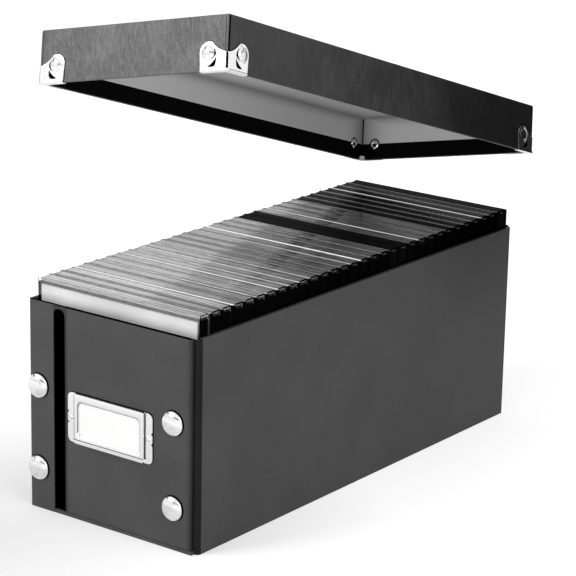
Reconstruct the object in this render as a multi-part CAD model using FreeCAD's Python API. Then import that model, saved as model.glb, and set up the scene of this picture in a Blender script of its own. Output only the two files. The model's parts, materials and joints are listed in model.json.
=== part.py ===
import FreeCAD, Part
import math
import os

# Storage box for compact discs, with a lift-off lid and a row of jewel cases standing in it.
# Lengths are in millimetres, with +Z up. The origin is the middle of the underside.
# The front, with the label holder, faces -Y. The lid is shown lifted off and tipped.

Vector = FreeCAD.Vector
ORIGIN = Vector(0, 0, 0)
X_AXIS = Vector(1, 0, 0)
Y_AXIS = Vector(0, 1, 0)
Z_AXIS = Vector(0, 0, 1)

# Discs and jewel cases
disc_diameter = 120.0
disc_bore = 15.0
disc_thickness = 1.2
disc_seat_gap = 0.5
case_side_margin = 2.3
case_spine_zone = 22.0
case_thickness = 10.3
case_pitch = 10.5
case_count = 31
case_skin = 1.2
case_side_gap = 0.4
case_row_slack = 1.5
case_back_depth = 8.8
case_cover_lip = 7.6
case_lip_setback = 6.0
case_fit = 0.2
inlay_thickness = 0.3
booklet_thickness = 1.4
booklet_foot = 18.0
tray_thickness = 5.6
tray_seat_depth = 2.2
tray_hub_gap = 0.2
case_stagger = 0.25

# Boards and covering of the box
board = 2.3
cloth = 0.8
body_height = 132.0
edge_round = 0.6
end_layer_gap = 0.4
inner_wall_drop = 1.2
corner_fold_radius = 3.0

# Front and back ends: a fixed strip, a crease and a swinging panel
strip_width = 20.0
crease_width = 9.0
crease_sink = 1.7
crease_gap = 0.3
crease_top_drop = 2.0
panel_corner_gap = 3.8
panel_floor_gap = 0.4
base_edge_setback = 0.3

# Snap fasteners
snap_high = 78.5
snap_low = 26.0
strip_snap_inset = 7.7
panel_snap_inset = 17.2
cap_diameter = 15.5
cap_rise = 3.6
cap_rim = 0.7
cap_neck_diameter = 6.0
cap_neck_length = 1.0
socket_diameter = 9.0
socket_stand = 0.2
socket_floor = 0.2
stud_diameter = 4.2
stud_flange = 0.6
stud_bore_gap = 0.2
stud_tip_gap = 0.25
stud_tip_round = 0.5
eyelet_shank = 3.4
eyelet_bore = 2.0
eyelet_flange_diameter = 7.5
eyelet_flange = 0.45
snap_fit = 0.1

# Label holder and card
holder_width = 66.0
holder_height = 31.4
holder_corner = 4.0
holder_middle = 65.0
holder_metal = 0.7
holder_frame_rise = 2.2
holder_frame_wall = 1.2
holder_frame_corner = 1.2
window_side_margin = 3.2
window_end_margin = 4.9
window_corner = 3.5
card_thickness = 0.5
card_gap = 0.3
holder_rivet_gap = 1.0
holder_rivet_margin = 1.2
holder_rivet_shank = 2.0
holder_rivet_head = 3.6
holder_rivet_rise = 0.8

# Lid
lid_gap = 1.5
lid_board = 2.3
lid_height = 32.0
lid_ceiling_gap = 0.3
lining = 0.4
turn_in = 0.3
turn_in_height = 11.0
lid_edge_round = 0.5

# Lid corner fittings and their rivets
fitting_metal = 0.6
fitting_seam = 0.9
fitting_waist = 10.2
fitting_band = 1.0
lobe_radius = 6.3
lobe_along = 13.0
lobe_up = 10.6
lobe_join_angle = 112.0
fitting_foot_inset = 0.7
fitting_tab_height = 3.0
fitting_tab_length = 3.6
dimple_depth = 0.3
dimple_top = (8.2, 8.6)
dimple_low = (13.4, 3.0)
dimple_bulge = (0.9, 2.5)
rivet_head = 8.4
rivet_rise = 2.0
rivet_shank = 3.4
rivet_washer = 6.6
rivet_washer_rise = 0.3
head_rim_share = 0.25
waist_sag_share = 1 / 6

# How the lid is lifted: it swings about a line beyond its far left corner
swing_distance = 290.0
swing_heading = 32.3
swing_tilt = -3.8
swing_angle = 20.9

# Sizes and places that follow
case_width = disc_diameter + 2 * case_side_margin
case_height = disc_diameter + case_spine_zone
booklet_size = disc_diameter
tray_hub_diameter = disc_bore - 2 * tray_hub_gap
body_width = case_width + 2 * case_side_gap + 2 * board
end_depth = 2 * board + end_layer_gap
row_length = case_count * case_pitch
body_length = row_length + case_row_slack + 2 * end_depth
half_width = body_width / 2
half_length = body_length / 2
front_plane = -half_length
inner_x = half_width - board
inner_face = front_plane + end_depth
wall_face = inner_face - board
strip_edge = -half_width + strip_width
panel_left = strip_edge + crease_width
panel_right = half_width - panel_corner_gap
panel_bottom = board + panel_floor_gap
panel_back = front_plane + board
case_top = board + case_height
lid_top = case_top + lid_ceiling_gap + lining + lid_board
rim_bottom = lid_top - lid_height
lid_inner_x = half_width + lid_gap + turn_in
lid_inner_y = half_length + lid_gap + turn_in
lid_half_width = lid_inner_x + lid_board
lid_half_length = lid_inner_y + lid_board
strip_snap_x = -half_width + strip_snap_inset
panel_snap_x = half_width - panel_snap_inset
rivet_height = rim_bottom + lobe_up
holder_wing = holder_rivet_gap + holder_rivet_head + holder_rivet_margin
holder_frame_width = holder_width - 2 * holder_wing
holder_rivet_x = holder_width / 2 - holder_rivet_margin - holder_rivet_head / 2
window_width = holder_frame_width - 2 * window_side_margin
window_height = holder_height - 2 * window_end_margin
small = 0.01


def block(x, y, z):
    """A box between the two values of each pair."""
    return Part.makeBox(x[1] - x[0], y[1] - y[0], z[1] - z[0], Vector(x[0], y[0], z[0]))


def rounded(shape, radius, chosen):
    """The shape with the edges whose bounding box is chosen rounded."""
    edges = [edge for edge in shape.Edges if chosen(edge.BoundBox)]
    return shape.makeFillet(radius, edges)


def at_back(shape):
    """The same piece at the back end, the mirror image of the front one."""
    return shape.mirror(ORIGIN, Y_AXIS)


def facing_front(shape, x, z):
    """A turned piece whose own +Z becomes outward, set on the front plane at x, z."""
    piece = shape.copy()
    piece.rotate(ORIGIN, X_AXIS, 90)
    piece.translate(Vector(x, front_plane, z))
    return piece


def drum(diameter, low, high):
    """A cylinder about Z between two heights."""
    return Part.makeCylinder(diameter / 2, high - low, Vector(0, 0, low))


def dome(diameter, rim, rise):
    """A domed head that stands on z = 0, with a short upright rim."""
    radius = diameter / 2
    crown = rise - rim
    sphere = (radius**2 + crown**2) / (2 * crown)
    half_angle = math.asin(radius / sphere) / 2
    middle = Vector(sphere * math.sin(half_angle), 0, rise - sphere * (1 - math.cos(half_angle)))
    arc = Part.Arc(Vector(radius, 0, rim), middle, Vector(0, 0, rise)).toShape()
    sides = Part.makePolygon([Vector(0, 0, rise), ORIGIN, Vector(radius, 0, 0), Vector(radius, 0, rim)])
    profile = Part.Face(Part.Wire(Part.sortEdges([arc] + sides.Edges)[0]))
    return profile.revolve(ORIGIN, Z_AXIS, 360)


def round_cornered(width, height, corner, low, high):
    """A plate about the origin in X and Y, with round corners, between two heights."""
    plate = block((-width / 2, width / 2), (-height / 2, height / 2), (low, high))
    return rounded(plate, corner, lambda b: b.ZLength > b.XLength and b.ZLength > b.YLength)


# Box


def base_outline():
    """Corners of the base board: it runs out under both panels, and stays behind the strips and folds."""
    edge = front_plane + base_edge_setback
    behind_strip = front_plane + board
    fold_x = half_width - corner_fold_radius
    fold_y = wall_face + corner_fold_radius
    half = [
        (-inner_x, behind_strip),
        (strip_edge, behind_strip),
        (strip_edge, edge),
        (fold_x, edge),
        (fold_x, fold_y),
        (inner_x, fold_y),
    ]
    return half + [(x, -y) for x, y in reversed(half)]


def base_board():
    corners = [Vector(x, y, 0) for x, y in base_outline()]
    return Part.Face(Part.makePolygon(corners + corners[:1])).extrude(Vector(0, 0, board))


def side_wall(x, half_run):
    """Side wall with rounded edges along its rim."""
    wall = block(x, (-half_run, half_run), (0, body_height))
    return rounded(wall, edge_round, lambda b: b.ZMin > body_height - small and b.YLength > board + small)


def right_wall():
    """Side wall between the two corner folds."""
    return side_wall((inner_x, half_width), -wall_face - corner_fold_radius)


def left_wall():
    """Side wall between the rounded uprights of the two strips."""
    return side_wall((-half_width, -inner_x), half_length - board)


def strip():
    """Fixed board at the left of the front, one board thick."""
    piece = block((-inner_x, strip_edge), (front_plane, panel_back), (0, body_height))
    piece = piece.cut(snap_holes_outer(strip_snap_x))
    outer = front_plane + small
    return rounded(
        piece,
        edge_round,
        lambda b: b.YMax < outer
        and (b.ZMin > body_height - small or (b.XMin > strip_edge - small and b.ZLength > board)),
    )


def strip_corner():
    """Rounded upright between the left wall and the strip."""
    round_stock = Part.makeCylinder(board, body_height, Vector(-inner_x, panel_back, 0))
    quarter = block((-half_width, -inner_x), (front_plane, panel_back), (0, body_height))
    return round_stock.common(quarter)


def fold_corner():
    """Rounded fold between the right wall and the inner end wall."""
    centre = Vector(half_width - corner_fold_radius, wall_face + corner_fold_radius, 0)
    height = body_height - inner_wall_drop
    outer = Part.makeCylinder(corner_fold_radius, height, centre)
    inner = Part.makeCylinder(corner_fold_radius - board, height, centre)
    quarter = block((centre.x, half_width), (wall_face, centre.y), (0, height))
    return outer.cut(inner).common(quarter)


def inner_wall():
    """Inner end wall behind the strip and the panel; it carries the studs."""
    fold_x = half_width - corner_fold_radius
    wall = block((-inner_x, fold_x), (wall_face, inner_face), (board, body_height - inner_wall_drop))
    for x in (strip_snap_x, panel_snap_x):
        wall = wall.cut(snap_holes_inner(x))
    return wall


def crease():
    """Flexible covering at the bottom of the groove between strip and panel."""
    return block(
        (strip_edge, panel_left - crease_gap),
        (front_plane + crease_sink, front_plane + crease_sink + cloth),
        (board, body_height - crease_top_drop),
    )


def panel():
    """Swinging end panel: it snaps shut at its right end."""
    piece = block((panel_left, panel_right), (front_plane, panel_back), (panel_bottom, body_height))
    piece = piece.cut(snap_holes_outer(panel_snap_x))
    outer = front_plane + small
    return rounded(
        piece, edge_round, lambda b: b.YMax < outer and (b.XLength > cap_diameter or b.ZLength > cap_diameter)
    )


# Snap fasteners, on their own axis: z = 0 is the outer plane of the end, and +z is outward


def at_snap_heights(shape, x):
    return [facing_front(shape, x, z) for z in (snap_high, snap_low)]


def snap_holes_outer(x):
    """Holes through a strip or panel for a cap's neck and a socket."""
    neck = drum(cap_neck_diameter + 2 * snap_fit, -cap_neck_length, small)
    seat = drum(socket_diameter + 2 * snap_fit, -board - small, -cap_neck_length)
    return at_snap_heights(neck.fuse(seat), x)


def snap_holes_inner(x):
    """Holes in the inner wall for a stud's flange and an eyelet's shank."""
    face = -(board + end_layer_gap)
    seat = drum(socket_diameter + 2 * snap_fit, face - stud_flange, face + small)
    shank = drum(eyelet_shank + 2 * snap_fit, -end_depth - small, face - stud_flange)
    return at_snap_heights(seat.fuse(shank), x)


def snap_caps(x):
    cap = dome(cap_diameter, cap_rim, cap_rise).fuse(drum(cap_neck_diameter, -cap_neck_length, 0))
    return at_snap_heights(cap.removeSplitter(), x)


def snap_sockets(x):
    back = -(board + socket_stand)
    cup = drum(socket_diameter, back, -cap_neck_length)
    bore = drum(stud_diameter + 2 * stud_bore_gap, back - small, -cap_neck_length - socket_floor)
    return at_snap_heights(cup.cut(bore), x)


def snap_studs(x):
    face = -(board + end_layer_gap)
    tip = -cap_neck_length - socket_floor - stud_tip_gap
    nub = drum(stud_diameter, face - small, tip)
    nub = rounded(nub, stud_tip_round, lambda b: b.ZMin > tip - small)
    stud = drum(socket_diameter, face - stud_flange, face).fuse(nub)
    return at_snap_heights(stud.removeSplitter(), x)


def snap_eyelets(x):
    seat = -(board + end_layer_gap + stud_flange)
    shank = drum(eyelet_shank, -end_depth, seat)
    flange = drum(eyelet_flange_diameter, -end_depth - eyelet_flange, -end_depth)
    bore = drum(eyelet_bore, -end_depth - eyelet_flange - small, seat + small)
    return at_snap_heights(flange.fuse(shank).cut(bore).removeSplitter(), x)


# Label holder, on its own axis as the snaps are: X across, Y up the panel, +z outward


def label_holder():
    """Pressed metal frame with wings, a raised rim and a pocket that is open at the top."""
    wings = round_cornered(holder_width, holder_height, holder_corner, 0, holder_metal)
    frame = round_cornered(
        holder_frame_width, holder_height, holder_frame_corner, 0, holder_frame_rise
    )
    frame = rounded(frame, edge_round, lambda b: b.ZMin > holder_frame_rise - small)
    pocket_x = holder_frame_width / 2 - holder_frame_wall
    pocket = block(
        (-pocket_x, pocket_x),
        (-holder_height / 2 + holder_frame_wall, holder_height / 2 + small),
        (-small, holder_frame_rise - holder_metal),
    )
    window = round_cornered(window_width, window_height, window_corner, 0, holder_frame_rise + small)
    holder = wings.fuse(frame).removeSplitter().cut(pocket).cut(window)
    for x in (-holder_rivet_x, holder_rivet_x):
        hole = drum(holder_rivet_shank, -small, holder_metal + small)
        hole.translate(Vector(x, 0, 0))
        holder = holder.cut(hole)
    return facing_front(holder, 0, holder_middle)


def label_card():
    """Card that slides up out of the holder's pocket."""
    half = holder_frame_width / 2 - holder_frame_wall - card_gap
    foot = -holder_height / 2 + holder_frame_wall
    front = holder_frame_rise - holder_metal - card_gap
    card = block((-half, half), (foot, holder_height / 2 - card_gap), (front - card_thickness, front))
    return facing_front(card, 0, holder_middle)


def label_holder_rivets():
    shank = drum(holder_rivet_shank, 0, holder_metal)
    head = dome(holder_rivet_head, head_rim_share * holder_rivet_rise, holder_rivet_rise)
    head.translate(Vector(0, 0, holder_metal))
    rivet = head.fuse(shank).removeSplitter()
    return [facing_front(rivet, x, holder_middle) for x in (-holder_rivet_x, holder_rivet_x)]


# Jewel cases, hinge edge down


def case_cover(front):
    """Clear front of a case, with a lip down each side."""
    half = case_width / 2
    plate = block((-half, half), (front, front + case_skin), (board, case_top))
    for side in (-1, 1):
        lip_x = sorted((side * half, side * (half - case_skin)))
        lip = block(
            lip_x,
            (front, front + case_cover_lip),
            (board + case_lip_setback, case_top - case_lip_setback),
        )
        plate = plate.fuse(lip)
    return plate.removeSplitter()


def case_back(front):
    """Clear back of a case, with an edge wall above and another below."""
    half = case_width / 2
    rear = front + case_thickness
    near = rear - case_back_depth
    side = half - case_skin - case_fit
    plate = block((-half, half), (rear - case_skin, rear), (board, case_top))
    upper = block((-side, side), (near, rear), (case_top - case_skin, case_top))
    lower = block((-side, side), (near, rear), (board, board + case_skin))
    return plate.fuse(upper).fuse(lower).removeSplitter()


def tray_space(front):
    """The room for a tray inside the paper: half its width, its y pair and its z pair."""
    half = case_width / 2 - case_skin - case_fit
    rear = front + case_thickness - case_skin - inlay_thickness - case_fit
    edge = case_skin + inlay_thickness + case_fit
    return half, (rear - tray_thickness, rear), (board + edge, case_top - edge)


def case_inlay(front):
    """Paper behind the tray, folded under the upper wall and over the lower one."""
    half = case_width / 2 - case_skin - case_fit
    rear = front + case_thickness - case_skin
    near = front + case_thickness - case_back_depth
    low = board + case_skin
    high = case_top - case_skin
    sheet = block((-half, half), (rear - inlay_thickness, rear), (low, high))
    top = block((-half, half), (near, rear), (high - inlay_thickness, high))
    foot = block((-half, half), (near, rear), (low, low + inlay_thickness))
    return sheet.fuse(top).fuse(foot).removeSplitter()


def along_y(diameter, y_from, y_to, z):
    """A cylinder about a line along Y at x = 0."""
    return Part.makeCylinder(diameter / 2, y_to - y_from, Vector(0, y_from, z), Y_AXIS)


def disc_middle(front):
    return board + booklet_foot + booklet_size / 2


def disc_tray(front):
    half, y, z = tray_space(front)
    tray = block((-half, half), y, z)
    seat = along_y(disc_diameter + disc_seat_gap, y[0] - small, y[0] + tray_seat_depth, disc_middle(front))
    hub = along_y(tray_hub_diameter, y[0], y[0] + tray_seat_depth, disc_middle(front))
    return tray.cut(seat).fuse(hub).removeSplitter()


def disc(front):
    _, y, _ = tray_space(front)
    rear = y[0] + tray_seat_depth
    whole = along_y(disc_diameter, rear - disc_thickness, rear, disc_middle(front))
    bore = along_y(disc_bore, rear - disc_thickness - small, rear + small, disc_middle(front))
    return whole.cut(bore)


def booklet(front):
    half = booklet_size / 2
    near = front + case_skin
    foot = board + booklet_foot
    return block((-half, half), (near, near + booklet_thickness), (foot, foot + booklet_size))


CASE_PIECES = {
    "case_cover": case_cover,
    "case_back": case_back,
    "case_inlay": case_inlay,
    "disc_tray": disc_tray,
    "disc": disc,
    "booklet": booklet,
}


def case_front(number):
    """Front face of a case in the row, counted from the front."""
    slack = (case_row_slack + case_pitch - case_thickness) / 2
    return inner_face + slack + number * case_pitch


def case_shift(number):
    """Small sideways stagger of a case, within the gap to the walls."""
    return case_stagger * math.sin(number * number)


def case_piece(make, number):
    shape = make(case_front(number))
    shape.translate(Vector(case_shift(number), 0, 0))
    return shape


# Lid, drawn closed on the box; z is measured from the rim's lower edge


def lid_block(x, y, z):
    return block(x, y, (rim_bottom + z[0], rim_bottom + z[1]))


def lid_top_board():
    low = lid_height - lid_board
    top = lid_block(
        (-lid_half_width, lid_half_width), (-lid_half_length, lid_half_length), (low, lid_height)
    )
    return rounded(top, lid_edge_round, lambda b: b.ZMin > lid_top - small)


def long_rim(side):
    """Rim board along one side of the lid."""
    x = sorted((side * lid_inner_x, side * lid_half_width))
    rim = lid_block(x, (-lid_half_length, lid_half_length), (0, lid_height - lid_board))
    for end in (-1, 1):
        y = end * (lid_half_length - lobe_along)
        rim = rim.cut(rivet_hole(Vector(x[0] - small, y, rivet_height), X_AXIS))
    return rim


def short_rim(end):
    """Rim board across one end of the lid, between the long ones."""
    y = sorted((end * lid_inner_y, end * lid_half_length))
    rim = lid_block((-lid_inner_x, lid_inner_x), y, (0, lid_height - lid_board))
    for side in (-1, 1):
        x = side * (lid_half_width - lobe_along)
        rim = rim.cut(rivet_hole(Vector(x, y[0] - small, rivet_height), Y_AXIS))
    return rim


def rivet_hole(start, direction):
    return Part.makeCylinder(rivet_shank / 2, lid_board + 2 * small, start, direction)


def lid_ceiling():
    """Paper under the top board."""
    high = lid_height - lid_board
    return lid_block((-lid_inner_x, lid_inner_x), (-lid_inner_y, lid_inner_y), (high - lining, high))


def inside_sheets(thickness, low, high):
    """Four sheets on the inner faces of the rims."""
    long_sheets = [
        lid_block(
            sorted((side * (lid_inner_x - thickness), side * lid_inner_x)),
            (-lid_inner_y, lid_inner_y),
            (low, high),
        )
        for side in (-1, 1)
    ]
    inset = lid_inner_x - thickness
    short_sheets = [
        lid_block(
            (-inset, inset),
            sorted((end * (lid_inner_y - thickness), end * lid_inner_y)),
            (low, high),
        )
        for end in (-1, 1)
    ]
    return long_sheets + short_sheets


def lid_wall_linings():
    return without_rivets(inside_sheets(turn_in, turn_in_height, lid_height - lid_board - lining))


def lid_turn_ins():
    return without_rivets(inside_sheets(turn_in, 0, turn_in_height))


def without_rivets(sheets):
    """The sheets with the rivets' shank holes through them."""
    shanks = Part.makeCompound(at_legs(drum(rivet_shank, -lid_board - turn_in - small, 0)))
    return [sheet.cut(shanks) for sheet in sheets]


# Corner fittings: a leg lies in X and Y, X is the distance from the corner and Y the height; +z is outward


def leg_plate():
    """One leg of a corner fitting, with a round lobe about its rivet."""
    start = fitting_seam / 2
    lobe = Vector(lobe_along, lobe_up, 0)

    def on_lobe(angle):
        turn = math.radians(angle)
        return lobe + Vector(lobe_radius * math.cos(turn), lobe_radius * math.sin(turn), 0)

    waist = Vector(start, fitting_waist, 0)
    join = on_lobe(lobe_join_angle)
    sag = waist_sag_share * (join - waist).Length
    middle = (waist + join) * 0.5 + Vector(sag / 2, -sag, 0)
    foot = Vector(lobe_along + lobe_radius - fitting_foot_inset, 0, 0)
    edges = [
        Part.LineSegment(Vector(start, 0, 0), waist).toShape(),
        Part.Arc(waist, middle, join).toShape(),
        Part.Arc(join, on_lobe(lobe_join_angle / 2), on_lobe(0)).toShape(),
        Part.LineSegment(on_lobe(0), foot).toShape(),
        Part.LineSegment(foot, Vector(start, 0, 0)).toShape(),
    ]
    plate = Part.Face(Part.Wire(edges)).extrude(Vector(0, 0, fitting_metal))
    hole = drum(rivet_shank, -small, fitting_metal + small)
    hole.translate(lobe)
    return plate.cut(hole).cut(dimple())


def dimple():
    """Pressed crescent under the rivet."""
    top = Vector(dimple_top[0], dimple_top[1], 0)
    low = Vector(dimple_low[0], dimple_low[1], 0)
    middle = (top + low) * 0.5
    across = Vector(top.y - low.y, low.x - top.x, 0).normalize()
    arcs = [Part.Arc(top, middle - across * bulge, low).toShape() for bulge in dimple_bulge]
    face = Part.Face(Part.Wire(Part.sortEdges(arcs)[0]))
    face.translate(Vector(0, 0, fitting_metal - dimple_depth))
    return face.extrude(Vector(0, 0, dimple_depth + small))


def to_legs(shape):
    """The two legs at the near right corner: along the front and along the side."""
    front = shape.mirror(ORIGIN, X_AXIS)
    front.rotate(ORIGIN, X_AXIS, 90)
    front.translate(Vector(lid_half_width, -lid_half_length, rim_bottom))
    side = shape.copy()
    side.rotate(ORIGIN, X_AXIS, 90)
    side.rotate(ORIGIN, Z_AXIS, 90)
    side.translate(Vector(lid_half_width, -lid_half_length, rim_bottom))
    return [front, side]


def round_the_corners(shapes):
    """The near right corner's shapes, and the same at the other three corners."""
    copies = []
    for shape in shapes:
        mirrored = shape.mirror(ORIGIN, X_AXIS)
        copies += [shape, mirrored, at_back(shape), at_back(mirrored)]
    return copies


def at_legs(shape):
    """A piece on a rivet's own axis, set on all eight legs."""
    piece = shape.copy()
    piece.translate(Vector(lobe_along, lobe_up, 0))
    return round_the_corners(to_legs(piece))


def corner_lip():
    """Metal under the rim at one corner, with a band round the foot of the corner and a tab inside."""
    reach = lobe_along + lobe_radius - fitting_foot_inset
    depth = lid_board + turn_in
    outer_x = lid_half_width + fitting_metal
    outer_y = -lid_half_length - fitting_metal
    under = (-fitting_metal, 0)
    lip = lid_block((lid_half_width - reach, outer_x), (outer_y, -lid_half_length + depth), under)
    lip = lip.fuse(
        lid_block((lid_half_width - depth, outer_x), (outer_y, -lid_half_length + reach), under)
    )
    corner_x = lid_half_width - fitting_band
    corner_y = -lid_half_length + fitting_band
    band = lid_block((corner_x, outer_x), (outer_y, -lid_half_length), (0, fitting_band))
    band = band.fuse(lid_block((lid_half_width, outer_x), (outer_y, corner_y), (0, fitting_band)))
    return lip.fuse(band).fuse(corner_tab(depth))


def corner_tab(depth):
    """Small angle turned up against the inner corner."""
    inner_x_face = lid_half_width - depth
    inner_y_face = -lid_half_length + depth
    outer = lid_block(
        (inner_x_face - fitting_tab_length, inner_x_face),
        (inner_y_face, inner_y_face + fitting_tab_length),
        (-fitting_metal, fitting_tab_height),
    )
    hollow = lid_block(
        (inner_x_face - fitting_tab_length - small, inner_x_face - fitting_metal),
        (inner_y_face + fitting_metal, inner_y_face + fitting_tab_length + small),
        (-fitting_metal - small, fitting_tab_height + small),
    )
    return outer.cut(hollow)


def lid_corners():
    front, side = to_legs(leg_plate())
    fitting = front.fuse(side).fuse(corner_lip()).removeSplitter()
    return round_the_corners([fitting])


def lid_corner_rivets():
    """Domed heads on the fittings, with shanks through the rim."""
    head = dome(rivet_head, head_rim_share * rivet_rise, rivet_rise)
    head.translate(Vector(0, 0, fitting_metal))
    shank = drum(rivet_shank, -lid_board - turn_in, fitting_metal)
    return at_legs(head.fuse(shank).removeSplitter())


def lid_rivet_washers():
    """Flattened tails of the rivets on the lid's inner faces."""
    inside = -lid_board - turn_in
    return at_legs(drum(rivet_washer, inside - rivet_washer_rise, inside))


def swing_axis():
    """Direction of the line that the lid swings about; a positive turn lifts the lid."""
    heading = math.radians(swing_heading)
    tilt = math.radians(swing_tilt)
    level = math.cos(tilt)
    return Vector(-math.cos(heading) * level, -math.sin(heading) * level, -math.sin(tilt))


def swing_point():
    """Point on that line, level with the closed lid's lower edge."""
    heading = math.radians(swing_heading)
    return Vector(-math.sin(heading) * swing_distance, math.cos(heading) * swing_distance, rim_bottom)


def lifted(shape):
    """A piece of the closed lid, moved to where the lifted lid holds it."""
    copy = shape.copy()
    copy.rotate(swing_point(), swing_axis(), swing_angle)
    return copy


# Assembly


def end_pieces():
    """The pieces of the front end, by name without the end's own name."""
    return {
        "strip": [strip()],
        "crease": [crease()],
        "inner_wall": [inner_wall()],
        "strip_snap_caps": snap_caps(strip_snap_x),
        "strip_snap_sockets": snap_sockets(strip_snap_x),
        "snap_studs": snap_studs(strip_snap_x) + snap_studs(panel_snap_x),
        "snap_eyelets": snap_eyelets(strip_snap_x) + snap_eyelets(panel_snap_x),
        "panel": [panel()],
        "panel_snap_caps": snap_caps(panel_snap_x),
        "panel_snap_sockets": snap_sockets(panel_snap_x),
    }


def box_pieces():
    pieces = {
        "base_board": [base_board()],
        "right_wall": [right_wall()],
        "left_wall": [left_wall()],
        "strip_corners": [strip_corner(), at_back(strip_corner())],
        "fold_corners": [fold_corner(), at_back(fold_corner())],
        "label_holder": [label_holder()],
        "label_holder_rivets": label_holder_rivets(),
        "label_card": [label_card()],
    }
    for name, shapes in end_pieces().items():
        pieces["front_" + name] = shapes
        pieces["back_" + name] = [at_back(shape) for shape in shapes]
    return pieces


def row_pieces():
    pieces = {}
    for name, make in CASE_PIECES.items():
        pieces["front_" + name] = [case_piece(make, 0)]
        pieces["row_" + name + "s"] = [case_piece(make, number) for number in range(1, case_count)]
    return pieces


def lid_pieces():
    closed = {
        "lid_top_board": [lid_top_board()],
        "lid_left_rim": [long_rim(-1)],
        "lid_right_rim": [long_rim(1)],
        "lid_front_rim": [short_rim(-1)],
        "lid_back_rim": [short_rim(1)],
        "lid_ceiling": [lid_ceiling()],
        "lid_wall_linings": lid_wall_linings(),
        "lid_turn_ins": lid_turn_ins(),
        "lid_corners": lid_corners(),
        "lid_corner_rivets": lid_corner_rivets(),
        "lid_rivet_washers": lid_rivet_washers(),
    }
    return {name: [lifted(shape) for shape in shapes] for name, shapes in closed.items()}


def main():
    os.makedirs("parts", exist_ok=True)
    pieces = {**box_pieces(), **row_pieces(), **lid_pieces()}
    for name, shapes in pieces.items():
        shape = shapes[0] if len(shapes) == 1 else Part.makeCompound(shapes)
        shape.exportStep("parts/" + name + ".step")
    print(len(pieces), "nodes")


main()
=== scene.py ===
import json
import logging
import math
from collections.abc import Callable, Iterator, Sequence
from contextlib import contextmanager
from dataclasses import dataclass
from enum import Enum

import bmesh
import bpy
from bpy.types import Material, Node, NodeSocket, NodeTree, Object
from mathutils import Euler, Matrix, Vector


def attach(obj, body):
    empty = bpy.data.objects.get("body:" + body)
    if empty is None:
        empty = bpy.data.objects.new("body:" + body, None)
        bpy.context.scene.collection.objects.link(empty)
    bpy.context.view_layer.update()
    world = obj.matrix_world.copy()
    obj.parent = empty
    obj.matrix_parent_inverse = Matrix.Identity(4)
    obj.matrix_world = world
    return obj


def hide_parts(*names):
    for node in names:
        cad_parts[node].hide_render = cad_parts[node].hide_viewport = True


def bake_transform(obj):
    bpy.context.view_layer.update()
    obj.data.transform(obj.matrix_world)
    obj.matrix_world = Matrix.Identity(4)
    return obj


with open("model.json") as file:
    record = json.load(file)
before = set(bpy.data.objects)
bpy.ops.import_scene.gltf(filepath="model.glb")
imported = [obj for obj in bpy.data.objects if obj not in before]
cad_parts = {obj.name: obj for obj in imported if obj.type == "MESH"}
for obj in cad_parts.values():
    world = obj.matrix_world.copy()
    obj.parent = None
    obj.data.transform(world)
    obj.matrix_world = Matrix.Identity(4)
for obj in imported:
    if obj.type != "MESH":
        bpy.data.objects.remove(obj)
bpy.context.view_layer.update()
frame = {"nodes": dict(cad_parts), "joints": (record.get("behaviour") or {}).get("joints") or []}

Colour = tuple[float, float, float]
Place = Sequence[float]
Line = Sequence[Place]
Test = Callable[..., bool]
Number = NodeSocket | float

LOG = logging.getLogger("disc_box")
MM = 0.001
HAIR = 0.01 * MM
FILM = 0.03 * MM
DOUBLED = 0.004 * MM
FACING = 0.9
CORNER_RUNS = 5
FLAT, PRESSED, ROUND, BENT = 40.0, 35.0, 50.0, 60.0
BOARD = 2.3 * MM
FRONT = -168.5 * MM
WALL_TOP = 132.0 * MM
STRIP_EDGE = -45.0 * MM
PANEL_EDGE = -36.0 * MM
BLACK: Colour = (0.0, 0.0, 0.0)
WHITE: Colour = (1.0, 1.0, 1.0)


class Body(Enum):
    """The moving bodies that a piece can ride on."""

    BOX = "box"
    LID = "lid"
    FRONT_PANEL = "front_panel"
    BACK_PANEL = "back_panel"
    FRONT_CASE = "front_case"


class End(Enum):
    """The two ends of the box; the back mirrors the front."""

    FRONT = "front"
    BACK = "back"

    @property
    def move(self) -> Matrix:
        """The move that takes a piece of the front end to this end."""
        return Matrix.Diagonal((1, -1 if self is End.BACK else 1, 1, 1))

    @property
    def panel(self) -> Body:
        """The body of this end's swinging panel."""
        return Body.BACK_PANEL if self is End.BACK else Body.FRONT_PANEL


class Slot(Enum):
    """The record's material slots."""

    BOARD = "covered_board"
    FLEXIBLE = "flexible_covering"
    LINING = "lining_paper"
    CHROME = "chrome"
    CASE = "clear_case"


class Pick(Enum):
    """What can be picked of a mesh in edit mode."""

    POINTS = "VERT"
    EDGES = "EDGE"
    FACES = "FACE"


# Modelling moves


def hold(piece: Object) -> None:
    """Selects one piece alone and makes it the active one.

    Args:
        piece: The piece to work on.
    """
    bpy.ops.object.select_all(action="DESELECT")
    piece.select_set(True)
    bpy.context.view_layer.objects.active = piece


@contextmanager
def editing(piece: Object, everything: bool = False) -> Iterator[None]:
    """Opens a piece in edit mode and closes it afterwards.

    Args:
        piece: The mesh to edit.
        everything: Whether all of it is selected, and not nothing.
    """
    hold(piece)
    bpy.ops.object.mode_set(mode="EDIT")
    bpy.ops.mesh.select_mode(type="VERT")
    bpy.ops.mesh.select_all(action="SELECT" if everything else "DESELECT")
    yield
    bpy.ops.object.mode_set(mode="OBJECT")


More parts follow.
